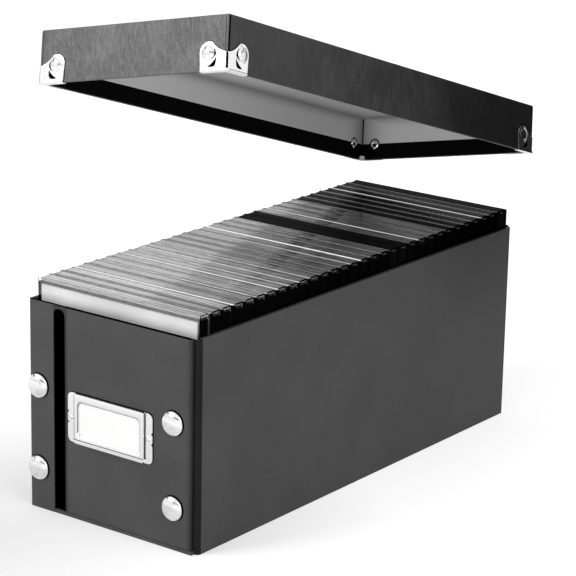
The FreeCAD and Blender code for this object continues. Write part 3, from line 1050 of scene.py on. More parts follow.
class Finishes:
    """Every finish of the box, made once."""

    def __init__(self, closed: Matrix, first_case: float, case_pitch: float) -> None:
        """Makes the materials.

        Args:
            closed: The move from the held lid to the closed one.
            first_case: Where the row of cases starts along Y.
            case_pitch: How far apart the cases stand.
        """
        turn = closed.to_euler("XYZ")
        plain = (grey(0.052, 0.001), grey(0.070, 0.001), 0.48, 0.22, 0.9 * MM, 0.035 * MM)
        # Painted shade beside the panel's crease and its right corner, and on the left of the lid
        # ends.
        panel_shade_margins = ((-35.8 * MM, -33.2 * MM, 0.85), (61.4 * MM, 57.8 * MM, 0.62))
        lid_end_shade_margins = ((-79.4 * MM, -69.0 * MM, 0.6),)
        self.board = Covering("board_covering", *plain).make()
        self.panel = Covering("panel_covering", *plain, painted_shade_margins=panel_shade_margins).make()
        # Painted shade: near-black covering for the right sleeve's folds behind the panels and for
        # the lining's inner corners.
        self.fold = Covering(
            "folded_covering", grey(0.013), grey(0.019), 0.6, 0.06, 0.9 * MM, 0.03 * MM
        ).make()
        # Painted shade and painted shadow: black without sheen on rims and tops, round the caps, by
        # the label holder and on the lid fittings.
        self.shade_black = Covering(
            "painted_shade_black", grey(0.001), grey(0.003), 0.8, 0.0, 1.0 * MM, 0.01 * MM
        ).make()
        # One covering on the whole lid: its ends get a lighter tone as painted light, its sides and
        # top a darker one as painted shade.
        bright = (grey(0.088, 0.001), grey(0.165, 0.001))
        darker_tone = (grey(0.038, 0.001), grey(0.060, 0.001))
        self.lid_end = Covering(
            "lid_end_covering", *bright, 0.42, 0.5, 1.0 * MM, 0.05 * MM,
            wrinkle=(1.45, 1.45, 0.42), wrinkle_depth=1.3 * MM, turn=turn, painted_shade_margins=lid_end_shade_margins,
        ).make()
        self.lid_side = Covering(
            "lid_side_covering", *darker_tone, 0.5, 0.25, 1.0 * MM, 0.05 * MM,
            wrinkle=(1.0, 1.0, 0.3), wrinkle_depth=0.08 * MM, turn=turn,
        ).make()
        # Painted shade: the covering turned in round the lid's foot, drawn near-black with little
        # sheen.
        self.turn_in = Covering(
            "turned_in_covering", grey(0.0012), grey(0.003), 0.6, 0.03, 0.9 * MM, 0.03 * MM
        ).make()
        sunk = (grey(0.060, 0.001), grey(0.0003))
        self.crease = ShadedGrooveCovering("crease_covering", *sunk, "sunk").make()
        room = (66.4 * MM, 169.9 * MM, 144.6 * MM)
        self.lining = ShadedLiningPaper("lid_lining_paper", grey(0.80), grey(0.18), *room, closed).make()
        self.card = Paper("label_card_stock", (0.90, 0.90, 0.89), (0.95, 0.95, 0.94), 0.6).make()
        print_range = {"shade_run": (0.0, 1.0), "own": (0.95, 1.0), "bar": (0.90, 1.0)}
        self.booklet = PrintedPaper(
            "booklet_cover", "Z", 0.0, 3.4 * MM, bars=4, tones=(0.88, 0.88), **print_range
        ).make()
        self.nickel = Nickel("nickel").make()
        fresh = (grey(0.90, 0.01), grey(0.74, 0.01))
        self.bright = Nickel("bright_nickel", *fresh, 0.12, (0.6, 0.8)).make()
        self.clear = Moulding("clear_styrene", grey(0.97), 0.04, 1.0).make()
        self.black = Moulding("black_styrene", grey(0.012), 0.22).make()
        # Near-black styrene with almost no sheen over whole cases: painted shade on the last case;
        # cases 18 and 19 are drawn black all over.
        self.blackened = Moulding("blackened_styrene", grey(0.002), 0.35, sheen=0.004).make()
        # Painted shade: near-black styrene with almost no sheen for the cases' side walls.
        self.shaded = Moulding("shaded_styrene", grey(0.0015), 0.7, sheen=0.004).make()
        # Painted shade: near-black styrene that reflects little, on the tops of the far cases.
        self.shaded_far_tops = Moulding("far_top_shade_styrene", grey(0.004), 0.14, index=1.045).make()
        self.edge = EdgeHighlights("painted_edge_highlights", first_case, case_pitch / 2).make()
        # Painted shade: the spines darken from the second case to the fourteenth.
        spine_shade = {"tones": (0.80, 0.015), "shade_run": (2.0, 14.0)}
        row = (first_case, case_pitch)
        self.spines = PrintedPaper("spine_papers", "Y", *row, bars=7, **spine_shade).make()
        self.disc = DiscMetal("disc_mirror").make()


def dress(piece: Object, finish: Material) -> Object:
    """Gives a piece one finish all over.

    Args:
        piece: The piece or a node of the frame.
        finish: The material.

    Returns:
        The same piece.
    """
    if not piece.material_slots:
        piece.data.materials.append(finish)
    for slot in piece.material_slots:
        slot.material = finish
    return piece


def dress_faces(piece: Object, finish: Material, test: Test) -> None:
    """Gives the faces that pass a test a finish of their own.

    Args:
        piece: The piece, dressed already.
        finish: The material.
        test: Says whether the face with a middle and a normal gets it.
    """
    piece.data.materials.append(finish)
    index = len(piece.data.materials) - 1
    for face in piece.data.polygons:
        if test(face.center, face.normal):
            face.material_index = index


def settle(piece: Object, finish: Material | None, body: Body, slot: Slot, *nodes: str) -> None:
    """Dresses a finished piece and ties it to its body and to the nodes that it stands for.

    Args:
        piece: The piece.
        finish: Its material, or None where its parts are dressed already.
        body: The body that it rides on.
        slot: The record's material slot; not used.
        *nodes: The nodes that it replaces.
    """
    if finish is not None:
        dress(piece, finish)
    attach(piece, body.value)
    if nodes:
        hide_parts(*nodes)
    LOG.info("%s: %d faces on %s", piece.name, len(piece.data.polygons), body.value)


@dataclass
class Assembly:
    """A group of pieces with the finishes that dress them."""

    finishes: Finishes


# The box


@dataclass
class Walls(Assembly):
    """Side walls, end strips and inner end walls: two wrapped sleeves of covered board."""

    half_width: float = 65.0 * MM
    half_length: float = -FRONT
    height: float = WALL_TOP
    board: float = BOARD
    strip_edge: float = STRIP_EDGE
    inner_wall: float = 165.8 * MM
    inner_drop: float = 1.2 * MM
    fold: float = 3.0 * MM
    crease_corner: float = 0.25 * MM
    soft_edge: float = 0.5 * MM
    rim_band: float = 2.0 * MM

    def strip_line(self, inset: float) -> list[Vector]:
        """The left sleeve's line in plan: the front strip, the left wall and the back strip.

        Args:
            inset: How far the line lies inside the outer face.

        Returns:
            The line's points.
        """
        corner = (-self.half_width + self.board, -self.half_length + self.board)
        front = [
            Vector((self.strip_edge, -self.half_length + inset, 0.0)),
            *arc(corner, max(self.board - inset, self.crease_corner), 270, 180, 5),
        ]
        return [*front, *mirrored(front)]

    def fold_line(self, inset: float) -> list[Vector]:
        """The right sleeve's line in plan: both inner end walls and the right wall.

        Args:
            inset: How far the line lies inside the outer face.

        Returns:
            The line's points.
        """
        fold = (self.half_width - self.fold, -self.inner_wall + self.fold)
        front = [
            Vector((-self.half_width + self.board, -self.inner_wall + inset, 0.0)),
            *arc(fold, self.fold - inset, 270, 360, 6),
        ]
        return [*front, *mirrored(front)]

    def sleeve(self, name: str, line: Callable[[float], list[Vector]]) -> Object:
        """A sleeve with square edges, from the line in plan that it has at an inset."""
        return raised(strip_between(name, line(0.0), line(self.board)), self.height)

    def on_rim(self, a: Vector, b: Vector) -> bool:
        """Whether an edge runs along a sleeve's rim, and not across it.

        Args:
            a: One end of the edge.
            b: The other end.

        Returns:
            True for the rim's two long edges.
        """
        high = min(a.z, b.z) > self.height - self.rim_band
        across = abs((a - b).length - self.board) < 0.06 * MM
        return high and not across

    def strip_sleeve(self) -> Object:
        """Models the left sleeve, with soft edges at its rim and beside the creases.

        Returns:
            The sleeve.
        """
        piece = self.sleeve("left_sleeve", self.strip_line)
        edge, front = self.strip_edge - 0.1 * MM, self.half_length - 0.1 * MM

        def beside_crease(a: Vector, b: Vector) -> bool:
            """The upright edges that the creases start from."""
            beside = min(a.x, b.x) > edge and min(abs(a.y), abs(b.y)) > front
            return beside and abs(a.z - b.z) > self.board

        round_edges(piece, self.soft_edge, 3, lambda a, b: self.on_rim(a, b) or beside_crease(a, b))
        return piece

    def fold_sleeve(self) -> Object:
        """Models the right sleeve, lower where it folds in behind the panels.

        Returns:
            The sleeve.
        """
        piece = self.sleeve("right_sleeve", self.fold_line)
        near = self.inner_wall - self.fold
        start, end = self.half_width - 0.55 * self.fold, self.half_width - self.fold + HAIR
        with editing(piece):
            pick(piece, Pick.POINTS, lambda p: p.z > self.board and abs(p.y) > near and p.x < start)
            bpy.ops.transform.translate(value=(0, 0, -self.inner_drop))
            pick(piece, Pick.POINTS, lambda p: p.z < MM and abs(p.y) > near and p.x < end)
            bpy.ops.transform.translate(value=(0, 0, self.board))
        round_edges(piece, self.soft_edge, 3, self.on_rim)
        return piece

    def build(self) -> None:
        """Models both sleeves and dresses them."""
        left, right = self.strip_sleeve(), self.fold_sleeve()
        for sleeve in (left, right):
            dress(sleeve, self.finishes.board)
        start, rim = self.inner_wall - self.fold - HAIR, self.height - 2 * HAIR
        fold, shade_black = self.finishes.fold, self.finishes.shade_black
        # Painted shade: the right sleeve's folds take the near-black fold covering and go black on
        # top; the left sleeve's rim over the end strips goes black.
        dress_faces(right, fold, lambda at, out: abs(at.y) > start)
        dress_faces(right, shade_black, lambda at, out: abs(at.y) > start and out.z > FACING)
        dress_faces(left, shade_black, lambda at, out: at.z > rim and abs(at.y) > self.inner_wall)
        for piece in (left, right):
            even_shading(piece)
        strips, walls = ("front_strip", "back_strip"), ("front_inner_wall", "back_inner_wall")
        settle(left, None, Body.BOX, Slot.BOARD, "left_wall", "strip_corners", *strips)
        settle(right, None, Body.BOX, Slot.BOARD, "right_wall", "fold_corners", *walls)


@dataclass
class Panel(Assembly):
    """Swinging end panel, a covered board with turned-over edges."""

    left: float = PANEL_EDGE
    right: float = 61.2 * MM
    front: float = FRONT
    board: float = BOARD
    foot: float = 2.45 * MM
    top: float = WALL_TOP
    soft_edge: float = 0.6 * MM
    hem: float = 14.0 * MM
    hem_rise: float = 0.12 * MM
    upward: float = 0.3

    def model(self) -> Object:
        """Models the front panel, with the covering's hem on its back.

        Returns:
            The panel.
        """
        back = self.front + self.board - self.hem_rise
        piece = block("panel", (self.left, self.front, self.foot), (self.right, back, self.top))
        with editing(piece):
            pick(piece, Pick.FACES, lambda at, out: out.y > FACING)
            bpy.ops.mesh.inset(thickness=self.hem)
        centre = Vector(((self.left + self.right) / 2, back, (self.foot + self.top) / 2))
        pull_faces(
            piece,
            (0, self.hem_rise, 0),
            lambda at, out: out.y > FACING and (at - centre).length > 5 * MM,
        )
        near = self.front + HAIR
        round_edges(piece, self.soft_edge, 4, lambda a, b: max(a.y, b.y) < near)
        return piece

    def build(self) -> None:
        """Models the panel for both ends."""
        pattern = dress(self.model(), self.finishes.panel)
        # Painted shade: the panel's upward faces go black, widening the dark line along its top.
        dress_faces(pattern, self.finishes.shade_black, lambda at, out: out.z > self.upward)
        for end in End:
            piece = copy_at(pattern, end.move, f"{end.value}_panel_board")
            even_shading(piece)
            settle(piece, None, end.panel, Slot.BOARD, f"{end.value}_panel")
        bpy.data.objects.remove(pattern)


@dataclass
class Crease(Assembly):
    """Flexible covering sunk between the strip and the panel, closed over in an arch at the top."""

    strip_edge: float = STRIP_EDGE
    panel_edge: float = PANEL_EDGE
    front: float = FRONT
    sink: float = 1.7 * MM
    thickness: float = 0.5 * MM
    foot: float = 2.4 * MM
    arch: float = 125.4 * MM
    crown: float = 129.6 * MM
    top: float = 131.5 * MM
    flush: float = 0.15 * MM
    level_step: float = 0.35 * MM
    roof_run: float = 0.9 * MM

    def section(self) -> list[tuple[float, float]]:
        """Lists the groove's points across.

        Returns:
            Each point's place in X and its share of the full sink.
        """
        sides = {
            self.strip_edge: {-0.5: 0.10, -0.05: 0.28, 0.15: 0.75, 0.6: 0.97, 1.8: 1.0, 3.6: 1.0},
            self.panel_edge: {-3.6: 0.97, -2.6: 0.82, -1.6: 0.62, -0.7: 0.40, 0.2: 0.22, 0.8: 0.10},
        }
        return [(edge + x * MM, share) for edge, side in sides.items() for x, share in side.items()]

    def depth(self, x: float, share: float, z: float) -> float:
        """How deep the skin lies at a place.

        Args:
            x: The place across the crease.
            share: The section's own share of the sink there.
            z: The height.

        Returns:
            The depth below the front plane.
        """
        middle = (self.strip_edge + self.panel_edge) / 2
        half = (self.panel_edge - self.strip_edge) / 2
        bow = self.crown - self.arch
        roof = self.arch + bow * math.sqrt(max(0.0, 1 - ((x - middle) / half) ** 2))
        open_share = min(1.0, max(0.0, (roof - z) / self.roof_run + 0.5))
        ease = open_share * open_share * (3 - 2 * open_share)
        return self.flush + (share * self.sink - self.flush) * ease

    def model(self) -> Object:
        """Models the crease skin of the front end.

        Returns:
            The skin.
        """
        section = self.section()
        foot = [(x, self.front + share * self.sink, self.foot) for x, share in section]
        piece = drawn_line("crease", foot)
        levels = [self.foot, self.arch - 1.2 * MM]
        levels += [self.arch + self.level_step * step for step in range(-3, 15)]
        levels.append(self.top)
        with editing(piece, everything=True):
            for low, high in zip(levels, levels[1:]):
                extrude((0, 0, high - low))
        sunk = piece.data.attributes.new("sunk", "FLOAT", "POINT")
        for number, vert in enumerate(piece.data.vertices):
            share = min(section, key=lambda point: abs(point[0] - vert.co.x))[1]
            depth = self.depth(vert.co.x, share, vert.co.z)
            vert.co.y = self.front + depth
            sunk.data[number].value = depth / self.sink
        with editing(piece):
            face_out()
        if sum(face.normal.y for face in piece.data.polygons) > 0:
            piece.data.flip_normals()
        finish_with(piece, "SOLIDIFY", thickness=self.thickness, offset=-1.0, use_even_offset=False)
        return piece

    def build(self) -> None:
        """Models the skin for both ends, between the box and the panel."""
        pattern = self.model()
        for end in End:
            piece = copy_at(pattern, end.move, f"{end.value}_crease_skin")
            smooth(piece, BENT)
            dress(piece, self.finishes.crease)
            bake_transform(piece)
            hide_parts(f"{end.value}_crease")
            LOG.info("%s: %d faces between box and panel", piece.name, len(piece.data.polygons))
        bpy.data.objects.remove(pattern)


@dataclass
class Snaps(Assembly):
    """Domed caps of the snap fasteners on the strips and panels."""

    strip_x: float = -57.3 * MM
    panel_x: float = 47.8 * MM
    heights: tuple[float, float] = (78.5 * MM, 26.0 * MM)
    front: float = FRONT
    radius: float = 7.75 * MM
    rise: float = 3.6 * MM
    rim: float = 0.7 * MM
    # Painted shadow: a thin black ring under each cap, shifted sideways and up.
    ring: float = 8.05 * MM
    ring_rise: float = 0.05 * MM
    ring_shift: tuple[float, float] = (0.50 * MM, 0.36 * MM)

    def cap(self) -> Object:
        """Models one cap about Z, with a rolled rim and a flattened dome.

        Returns:
            The cap.
        """
        crown = self.rise - self.rim
        dome = [
            (self.radius * share, self.rim + crown * (1 - share**2.5) ** 0.72)
            for share in (0.0, 0.14, 0.28, 0.42, 0.55, 0.67, 0.77, 0.85, 0.91, 0.955)
        ]
        roll = [(0.12 * MM, self.rim + 0.12 * MM), (0.0, self.rim - 0.15 * MM)]
        roll += [(0.1 * MM, 0.32 * MM), (0.75 * MM, 0.0), (self.radius, 0.0)]
        return turned("cap", [*dome, *((self.radius - inset, height) for inset, height in roll)])

    def shade_ring(self) -> Object:
        """Models a dark ring under a cap, shifted off its middle: a painted shadow on the covering.

        Returns:
            The ring.
        """
        rise = self.ring_rise
        profile = [(0.0, rise), (self.ring, rise), (self.ring, 0.0), (0.0, 0.0)]
        return lay(turned("shade_ring", profile, 32), Matrix.Translation((*self.ring_shift, 0)))

    def build(self) -> None:
        """Models the caps of both ends."""
        metal = dress(self.cap(), self.finishes.nickel)
        pattern = joined("cap", [metal, dress(self.shade_ring(), self.finishes.shade_black)])
        for end in End:
            sides = (("strip", self.strip_x, Body.BOX), ("panel", self.panel_x, end.panel))
            for part, x, body in sides:
                places = [end.move @ facing_front(x, self.front, z) for z in self.heights]
                cap = copy_at(pattern, Matrix.Identity(4), "cap_copy")
                piece = set_out(f"{end.value}_{part}_caps", cap, places)
                smooth(piece, ROUND)
                settle(piece, None, body, Slot.CHROME, f"{end.value}_{part}_snap_caps")
        bpy.data.objects.remove(pattern)


@dataclass
class LabelHolder(Assembly):
    """Pressed label frame with riveted wings, open at the top for the card."""

    middle: Place = (0.0, FRONT, 65.0 * MM)
    half_width: float = 33.0 * MM
    half_height: float = 15.7 * MM
    corner: float = 3.6 * MM
    metal: float = 0.7 * MM
    frame_half: float = 27.2 * MM
    frame_rise: float = 2.2 * MM
    frame_wall: float = 1.2 * MM
    window: tuple[float, float] = (24.0 * MM, 10.8 * MM)
    window_corner: float = 3.5 * MM
    rivet_x: float = 30.0 * MM
    rivet_radius: float = 1.8 * MM
    rivet_rise: float = 0.8 * MM
    flange: float = 2.5 * MM
    wing_round: float = 0.22 * MM
    notch: float = 3.3 * MM
    notch_depth: float = 1.2 * MM
    # Sizes of the painted shade round the window, and the shift of the painted shadow plate.
    line_outside: tuple[float, float] = (0.42 * MM, 0.32 * MM)
    line_inside: tuple[float, float] = (0.14 * MM, 0.16 * MM)
    line_shift: float = 0.18 * MM
    line_rise: float = 0.34 * MM
    shade_shift: Place = (0.45 * MM, 0.5 * MM, 0.0)

    def raised_frame(self) -> Object:
        """Models the raised frame about its own middle, with a dished inner border.

        Returns:
            The frame.
        """
        x, y = self.frame_half, self.half_height
        window_x, window_y = self.window
        high, low = self.frame_rise, self.frame_rise - self.metal
        edge = [(0.0, 1.2 * MM, 0.0), (0.0, 1.2 * MM, high - 0.5 * MM)]
        edge += [(0.18 * MM, 1.15 * MM, high - 0.16 * MM), (0.55 * MM, 1.0 * MM, high)]
        dish = [(1.5 * MM, high), (1.1 * MM, high - 0.1 * MM), (0.15 * MM, low + 0.18 * MM)]
        dish += [(0.0, low), (0.0, 0.0)]
        rings = [corner_ring(x - inset, y - inset, radius, z) for inset, radius, z in edge]
        for step, z in dish:
            rings.append(corner_ring(window_x + step, window_y + step, self.window_corner, z))
        pairs = zip(rings, [*rings[1:], rings[0]])
        bands = [strip_between("band", first, second, closed=True) for first, second in pairs]
        piece = joined("raised_frame", bands)
        with editing(piece):
            tidy_faces()
        side = x - self.frame_wall
        pocket = block("pocket", (-side, self.frame_wall - y, -MM), (side, y + MM, low))
        cut_away(piece, pocket)
        return piece

    def wing(self) -> Object:
        """Models the right wing, notched above and below its rivet.

        Returns:
            The wing.
        """
        y, edge, level = self.half_height, self.half_width, self.metal - HAIR
        inner = self.frame_half - 0.4 * MM
        notch, depth = self.notch, self.notch_depth
        lead_in = ((0.0, -0.8 * MM), (0.35 * depth, -0.2 * MM))
        half = [Vector((edge - inset, 0.9 * notch + rise, 0)) for inset, rise in lead_in]
        run_out = ((depth, 0.0), (0.35 * depth, 0.5 * MM), (0.0, 1.0 * MM))
        half += [Vector((edge - inset, notch + rise, 0)) for inset, rise in run_out]
        half += arc((edge - self.corner, y - self.corner), self.corner, 0, 90, 6)
        half.append(Vector((inner, y, 0)))
        piece = plate("wing", [*half, *mirrored(half)], self.metal)
        start = inner + MM
        round_edges(
            piece, self.wing_round, 2, lambda a, b: min(a.z, b.z) > level and max(a.x, b.x) > start
        )
        return piece

    def window_line(self) -> Object:
        """Models painted shade round the window: a black film, widest on the left, lost below.

        Returns:
            The film.
        """
        x, y = self.window
        height = self.frame_rise - self.metal + self.line_rise
        outer, inner = (
            corner_ring(x + wider, y + higher, self.window_corner, height)
            for wider, higher in (self.line_outside, self.line_inside)
        )
        shifted = [p - Vector((self.line_shift, 0, 0)) for p in outer]
        piece = raised(strip_between("window_line", shifted, inner, closed=True), FILM)
        cut_away(piece, block("lit", (-x - MM, -y - MM, 0.0), (x + MM, 2 * MM - y, 2 * height)))
        return piece

    def shade_lines(self) -> Object:
        """Models the painted shade: round the window, by the wings and above the flange.

        Returns:
            The black films and the shadow plate, as one piece.
        """
        x, y, high, level = self.frame_half, self.half_height, self.frame_rise, self.metal
        foot = self.flange - y
        lines = {
            "right": ((x, foot, level), (x + 0.65 * MM, y - 0.5 * MM, level + FILM)),
            "left": ((-x - 0.42 * MM, foot, level), (-x, y - MM, level + FILM)),
            "left_step": ((0.3 * MM - x, foot, high), (0.6 * MM - x, y - 0.6 * MM, high + FILM)),
            "right_step": ((x - 0.4 * MM, foot, high - 0.5 * MM), (x + FILM, y, high - 0.45 * MM)),
            "flange": ((-x, foot, high), (x, foot + 0.42 * MM, high + FILM)),
        }
        outline = corner_ring(self.half_width, y, self.corner, 0.0)
        # Painted shadow: the holder's outline as a black plate, shifted right and up, open behind
        # the window.
        shade = plate("shade", [p + Vector(self.shade_shift) for p in outline], 0.05 * MM)
        cut_away(shade, block("opening", (MM - x, MM - y, -MM), (x - MM, y - MM, MM)))
        parts = [block(name, low, top) for name, (low, top) in lines.items()]
        return joined("shade_lines", [self.window_line(), shade, *parts])

    def rivet(self) -> Object:
        """Models one small domed rivet about Z.

        Returns:
            The rivet.
        """
        radius, rise = self.rivet_radius, self.rivet_rise
        angles = (0.0, 0.35, 0.7, 1.05, 1.35, 1.5)
        dome = [(radius * math.sin(angle), rise * math.cos(angle)) for angle in angles]
        return turned("rivet", [*dome, (radius, 0.0), (0.0, 0.0)], 20)

    def build(self) -> None:
        """Models the holder and its rivets."""
        place = facing_front(*self.middle)
        right = self.wing()
        left = copy_at(right, Matrix.Rotation(math.pi, 4, "Z"), "left_wing")
        metal = joined("label_frame", [self.raised_frame(), right, left])
        lines = dress(self.shade_lines(), self.finishes.shade_black)
        piece = lay(joined("label_frame", [dress(metal, self.finishes.bright), lines]), place)
        even_shading(piece, PRESSED)
        settle(piece, None, Body.FRONT_PANEL, Slot.CHROME, "label_holder")
        spots = [(side * self.rivet_x, 0, self.metal) for side in (-1, 1)]
        places = [place @ Matrix.Translation(spot) for spot in spots]
        piece = set_out("label_frame_rivets", self.rivet(), places)
        smooth(piece, ROUND)
        settle(piece, self.finishes.nickel, Body.FRONT_PANEL, Slot.CHROME, "label_holder_rivets")


# The lid, modelled closed and then swung to where it is held


@dataclass
class Lid(Assembly):
    """Covered lid with a paper lining, held up at its lift from where it closes."""

    lift: Matrix
    half_width: float = 69.1 * MM
    half_length: float = 172.6 * MM
    foot: float = 115.3 * MM
    top: float = 147.3 * MM
    board: float = BOARD
    hem: float = 11.0 * MM
    lining: float = 0.4 * MM
    turn_in: float = 0.3 * MM
    corner_round: float = 1.1 * MM
    top_round: float = 0.7 * MM
    foot_round: float = 0.55 * MM
    fold: float = 0.75 * MM
    fold_gap: float = 0.6 * MM
    lap: float = 0.6 * MM

    def covering(self) -> Object:
        """Models the wrapped shell with soft edges.

        Returns:
            The shell.
        """
        x, y = self.half_width, self.half_length
        low, high = (-x, -y, self.foot), (x, y, self.top)
        piece = shell("lid_shell", low, high, self.board, lambda at, out: out.z < -FACING)

        def outside(point: Vector) -> bool:
            """Whether a point lies on the shell's outer walls."""
            return abs(point.x) > x - HAIR or abs(point.y) > y - HAIR

        def upright(a: Vector, b: Vector) -> bool:
            """The four outer corners."""
            level = abs(a.z - b.z) < self.board
            return not level and all(abs(p.x) > x - HAIR and abs(p.y) > y - HAIR for p in (a, b))

        def at_foot(a: Vector, b: Vector) -> bool:
            """The outer and inner edges of the foot, and not those across it."""
            low = max(a.z, b.z) < self.foot + HAIR
            return low and outside(a) == outside(b) and (a - b).length > HAIR

        round_edges(piece, self.corner_round, 4, upright)
        round_edges(piece, self.top_round, 4, above(self.top - HAIR))
        round_edges(piece, self.foot_round, 3, at_foot)
        return piece

    def inner_lining(self) -> Object:
        """Models the grey paper on the ceiling and on the walls above the hem.

        Returns:
            The paper.
        """
        x, y, z = (size - self.board for size in (self.half_width, self.half_length, self.top))
        low, high = (-x, -y, self.foot + self.hem), (x, y, z)
        piece = shell("lid_lining", low, high, self.lining, lambda at, out: out.z < -FACING)
        inner_x, inner_y = (size - self.lining + 2 * HAIR for size in (x, y))

        def inner(a: Vector, b: Vector) -> bool:
            """The edges of the lining's showing side, at its ceiling and up its corners."""
            showing = all(abs(p.x) < inner_x and abs(p.y) < inner_y for p in (a, b))
            return showing and max(a.z, b.z) > z - MM

        round_edges(piece, self.corner_round, 4, inner)
        return piece

    def folds(self) -> Object:
        """Models dark strips of painted shade up the lining's four inner corners.

        Returns:
            The folds.
        """
        x, y = (half - self.board - self.lining for half in (self.half_width, self.half_length))
        low, high = self.foot + self.hem, self.top - self.board - self.lining - self.fold_gap
        near, far = (x - self.fold, y - self.fold, low), (x - 2 * HAIR, y - 2 * HAIR, high)
        sides = [Matrix.Diagonal((x, y, 1, 1)) for x in (-1, 1) for y in (-1, 1)]
        return set_out("folds", block("fold", near, far), sides)

    def hem_band(self) -> Object:
        """Models the black covering turned in round the foot of the walls.

        Returns:
            The hem.
        """
        x, y = self.half_width - self.board, self.half_length - self.board
        low, high = self.foot + self.turn_in, self.foot + self.hem + self.lap
        corners = ((-x, -y, low), (x, y, high))
        return shell("lid_hem", *corners, self.turn_in, lambda at, out: abs(out.z) > FACING)

    def build(self) -> None:
        """Models the lid's boards and papers."""
        rims = [f"lid_{side}_rim" for side in ("left", "right", "front", "back")]
        boards = dress(self.covering(), self.finishes.lid_side)
        # Painted light: the lid's ends take the lighter covering.
        dress_faces(boards, self.finishes.lid_end, lambda at, out: abs(out.y) > 0.7)
        even_shading(lay(boards, self.lift))
        settle(boards, None, Body.LID, Slot.BOARD, "lid_top_board", *rims)
        paper = dress(self.inner_lining(), self.finishes.lining)
        folds = dress(self.folds(), self.finishes.fold)
        lining = lay(joined("lid_lining", [paper, folds]), self.lift)
        smooth(lining, PRESSED)
        settle(lining, None, Body.LID, Slot.LINING, "lid_ceiling", "lid_wall_linings")
        hem = lay(self.hem_band(), self.lift)
        settle(hem, self.finishes.turn_in, Body.LID, Slot.FLEXIBLE, "lid_turn_ins")


